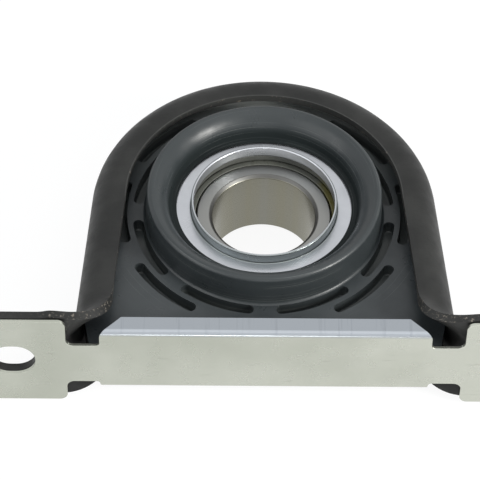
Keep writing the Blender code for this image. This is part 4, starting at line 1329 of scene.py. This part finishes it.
@dataclass
class BallBearing:
    """The ball bearing: its rings, seals, balls and cage."""

    front: float = 0.004
    rear: float = -0.026
    width: float = 0.018
    bore: float = 0.020
    bore_chamfer: float = 0.0012
    inner_radius: float = 0.0262
    outer_radius: float = 0.040
    outer_bore: float = 0.0342
    pitch_radius: float = 0.0302
    ball_radius: float = 0.00595
    rolling_gap: float = 0.0004
    ball_count: int = 9
    recess_radius: float = 0.0357
    recess_depth: float = 0.0016
    ring_steps: int = 144
    groove_steps: int = 16
    seal_inset: float = 0.0003
    seal_thickness: float = 0.001
    seal_clearance: float = 0.0003
    seal_channel_depth: float = 0.0005
    seal_rib_width: float = 0.0015
    seal_lip_width: float = 0.0020
    seal_slope: float = 0.0005
    outer_steel: GroundSteel = GroundSteel("outer_ring_steel", (0.47, 0.47, 0.47), (0.34, 0.34, 0.34),
                                           roughness=0.26)
    ball_steel: PlainSteel = PlainSteel("ball_steel", (0.62, 0.62, 0.62), (0.54, 0.53, 0.49), 0.10)
    cage_steel: PlainSteel = PlainSteel("cage_steel", (0.46, 0.44, 0.39), (0.36, 0.34, 0.29), 0.34)
    rivet_steel: PlainSteel = PlainSteel("rivet_steel", (0.52, 0.50, 0.45), (0.42, 0.40, 0.35), 0.30)

    @property
    def ball_plane(self) -> float:
        """Height of the balls' centres."""
        return self.front - self.width / 2.0

    def groove(self, ring_radius: float, toward_axis: bool) -> list[Corner]:
        """Return the ball groove across a ring's rolling face, from front to rear on the inner ring."""
        radius = self.ball_radius + self.rolling_gap
        half = math.acos(abs(ring_radius - self.pitch_radius) / radius)
        middle = HALF_TURN if toward_axis else 0.0
        made = []
        for index in range(self.groove_steps + 1):
            angle = middle - half + 2.0 * half * index / self.groove_steps
            made.append(Corner(self.pitch_radius + radius * math.cos(angle),
                               self.ball_plane + radius * math.sin(angle)))
        return made

    def inner_ring(self) -> bmesh.types.BMesh:
        """Return the long inner ring with its chamfers and groove."""
        chamfer = self.bore_chamfer
        outline = [Corner(self.bore, self.rear + chamfer, 0.0004, 2),
                   Corner(self.bore, self.front - chamfer, 0.0004, 2),
                   Corner(self.bore + chamfer, self.front, 0.0003, 2),
                   Corner(self.inner_radius, self.front, 0.0006, 4)]
        outline += self.groove(self.inner_radius, True)
        outline += [Corner(self.inner_radius, self.rear, 0.0006, 4),
                    Corner(self.bore + chamfer, self.rear, 0.0003, 2)]
        return turn(outline, self.ring_steps)

    def outer_ring(self) -> bmesh.types.BMesh:
        """Return the outer ring with its groove and seal recesses."""
        rear = self.front - self.width
        outline = [Corner(self.outer_radius, rear, 0.0006, 4),
                   Corner(self.outer_radius, self.front, 0.0006, 4),
                   Corner(self.recess_radius, self.front, 0.0002, 2),
                   Corner(self.recess_radius, self.front - self.recess_depth),
                   Corner(self.outer_bore, self.front - self.recess_depth, 0.0002, 2)]
        outline += list(reversed(self.groove(self.outer_bore, False)))
        outline += [Corner(self.outer_bore, rear + self.recess_depth, 0.0002, 2),
                    Corner(self.recess_radius, rear + self.recess_depth),
                    Corner(self.recess_radius, rear, 0.0002, 2)]
        return turn(outline, self.ring_steps)

    def seal(self, facing: float) -> bmesh.types.BMesh:
        """Return one seal of the bearing with its ribs and lip, facing front (1) or rear (-1)."""
        outer_face = self.width / 2.0 - self.seal_inset
        inner_face = outer_face - self.seal_thickness
        channel = outer_face - self.seal_channel_depth
        outer = self.recess_radius - self.seal_clearance
        inner = self.inner_radius + self.rolling_gap
        rib = outer - self.seal_rib_width
        lip = inner + self.seal_lip_width
        section = [(inner, inner_face, 0.0002), (outer, inner_face, 0.0002), (outer, outer_face, 0.0003),
                   (rib, outer_face, 0.0003), (rib - self.seal_slope, channel, 0.0003),
                   (lip + self.seal_slope, channel, 0.0003), (lip, outer_face, 0.0003),
                   (inner, outer_face, 0.0003)]
        return turn([Corner(radius, self.ball_plane + facing * height, rounding, 2)
                     for radius, height, rounding in section])

    def build(self) -> None:
        """Build the bearing."""
        add_piece("inner_ring_fine", self.inner_ring(), GroundSteel().build(), Body.INNER_RACE,
                  ["inner_ring"])
        add_piece("outer_ring_fine", self.outer_ring(), self.outer_steel.build(), Body.HOUSING,
                  ["outer_ring"])
        nitrile = Nitrile().build()
        for name, facing in (("front_seal", 1.0), ("rear_seal", -1.0)):
            add_piece(name + "_lip", self.seal(facing), nitrile, Body.HOUSING, [name])
        ball_steel = self.ball_steel.build()
        for index in range(self.ball_count):
            angle = math.tau * index / self.ball_count
            bm = bmesh.new()
            bmesh.ops.create_icosphere(bm, subdivisions=4, radius=self.ball_radius)
            place = (self.pitch_radius * math.cos(angle),
                     AXIS_HEIGHT + self.pitch_radius * math.sin(angle), self.ball_plane)
            bmesh.ops.translate(bm, verts=bm.verts[:], vec=place)
            add_piece(f"round_ball_{index + 1}", bm, ball_steel, Body.CAGE,
                      [f"ball_{index + 1}"])
        cage_steel = self.cage_steel.build()
        rivet_steel = self.rivet_steel.build()
        for name in ("cage_front", "cage_rear"):
            dress_node(name, cage_steel)
        for index in range(self.ball_count):
            dress_node(f"cage_rivet_{index + 1}", rivet_steel)


@dataclass
class Lamp:
    """A square soft lamp."""

    name: str
    place: Point
    aim: Point
    size: float
    power: float
    colour: Colour = (1.0, 1.0, 1.0)

    def build(self) -> None:
        """Hang the lamp and turn it to its aim."""
        light = bpy.data.lights.new(self.name, 'AREA')
        light.shape = 'SQUARE'
        light.size = self.size
        light.energy = self.power
        light.color = self.colour
        item = bpy.data.objects.new(self.name, light)
        item.location = self.place
        way = Vector(self.aim) - Vector(self.place)
        item.rotation_euler = way.to_track_quat('-Z', 'Y').to_euler()
        bpy.context.scene.collection.objects.link(item)


@dataclass
class Studio:
    """The floor, the lamps, the world and the camera."""

    azimuth: float = -2.03
    elevation: float = 49.25
    roll: float = 2.03
    distance: float = 1.124
    target: Point = (-0.00067, 0.06035, 0.0)
    lens: float = 216.9
    shift: float = -0.04583
    floor_height: float = -0.0262
    floor_size: float = 6.0
    floor_colour: Colour = (0.90, 0.90, 0.90)
    floor_roughness: float = 0.9
    glow_strength: float = 1.05
    glow_share: float = 0.86
    sensor: float = 36.0
    world_strength: float = 0.55
    world_colour: Colour = (0.93, 0.97, 1.0)
    lamps: list[Lamp] = field(default_factory=lambda: [
        Lamp("key", (0.95, -0.48, 0.56), (0.0, 0.07, 0.0), 0.34, 14.5, (1.0, 0.985, 0.95)),
        Lamp("side", (-0.95, -0.42, 0.60), (0.0, 0.07, 0.0), 1.0, 5.0),
        Lamp("top", (0.25, 0.0, 1.20), (0.0, 0.07, 0.0), 1.1, 2.2),
        Lamp("front", (-0.10, -0.80, 0.95), (0.0, 0.07, 0.0), 1.0, 0.9),
        Lamp("low", (0.0, -1.10, 0.22), (0.0, 0.03, 0.0), 0.16, 0.5)])

    def camera(self) -> None:
        """Create the camera at the photograph's viewing angle."""
        side, rise, roll = (math.radians(value) for value in (self.azimuth, self.elevation, self.roll))
        back = Vector((math.sin(side) * math.cos(rise), -math.cos(side) * math.cos(rise), math.sin(rise)))
        right = Vector((math.cos(side), math.sin(side), 0.0))
        up = back.cross(right)
        rolled_right = right * math.cos(roll) + up * math.sin(roll)
        rolled_up = up * math.cos(roll) - right * math.sin(roll)
        data = bpy.data.cameras.new("camera")
        data.sensor_width = self.sensor
        data.sensor_fit = 'HORIZONTAL'
        data.lens = self.lens
        data.shift_x = self.shift
        data.clip_end = 20.0
        item = bpy.data.objects.new("camera", data)
        turned = Matrix((rolled_right, rolled_up, back)).transposed().to_4x4()
        item.matrix_world = Matrix.Translation(Vector(self.target) + back * self.distance) @ turned
        bpy.context.scene.collection.objects.link(item)
        bpy.context.scene.camera = item

    def floor(self) -> None:
        """Lay a plain pale floor that reads nearly white and keeps a soft shadow."""
        bm = bmesh.new()
        bmesh.ops.create_grid(bm, x_segments=1, y_segments=1, size=self.floor_size / 2.0)
        bmesh.ops.translate(bm, verts=bm.verts[:], vec=(0.0, 0.0, self.floor_height))
        item = placed("floor", bm)
        recipe = Recipe("floor_paper", self.floor_colour, self.floor_roughness)
        glow = recipe.node("ShaderNodeEmission")
        glow.inputs["Strength"].default_value = self.glow_strength
        mix = recipe.node("ShaderNodeMixShader")
        recipe.feed(mix.inputs[0], recipe.times(self.seen(recipe.tree), self.glow_share))
        recipe.feed(mix.inputs[1], recipe.shader.outputs[0])
        recipe.feed(mix.inputs[2], glow.outputs[0])
        recipe.feed(recipe.tree.nodes["Material Output"].inputs["Surface"], mix.outputs[0])
        item.data.materials.append(recipe.material)

    @staticmethod
    def seen(tree: bpy.types.NodeTree) -> Socket:
        """Return 1 for rays that come straight from the camera, a mirror or glass."""
        path = tree.nodes.new("ShaderNodeLightPath")
        share = path.outputs["Is Camera Ray"]
        for name in ("Is Glossy Ray", "Is Transmission Ray"):
            larger = tree.nodes.new("ShaderNodeMath")
            larger.operation = 'MAXIMUM'
            tree.links.new(share, larger.inputs[0])
            tree.links.new(path.outputs[name], larger.inputs[1])
            share = larger.outputs[0]
        return share

    def world(self) -> None:
        """Set a plain world that looks white and lights evenly."""
        world = bpy.data.worlds.new("studio")
        bpy.context.scene.world = world
        world.use_nodes = True
        tree = world.node_tree
        light = [self.world_strength * value for value in self.world_colour]
        tint = tree.nodes.new("ShaderNodeMix")
        tint.data_type = 'RGBA'
        tint.inputs[6].default_value = (*light, 1.0)
        tint.inputs[7].default_value = (1.0, 1.0, 1.0, 1.0)
        tree.links.new(self.seen(tree), tint.inputs[0])
        tree.links.new(tint.outputs[2], tree.nodes["Background"].inputs["Color"])

    def build(self) -> None:
        """Set up the whole studio."""
        bpy.context.scene.view_settings.view_transform = 'Standard'
        self.camera()
        self.world()
        self.floor()
        for lamp in self.lamps:
            lamp.build()


def main() -> None:
    """Build every sub-assembly and the studio in order."""
    logging.basicConfig(level=logging.INFO, format="%(message)s")
    Studio().build()
    path = StripPath()
    slots = BoltSlots()
    for part in (BasePlate(slots), Bracket(path, slots), Cushion(path), BearingCup(), RearShield(),
                 BallBearing()):
        part.build()
        LOG.info("built %s", type(part).__name__)


if __name__ == "__main__":
    main()
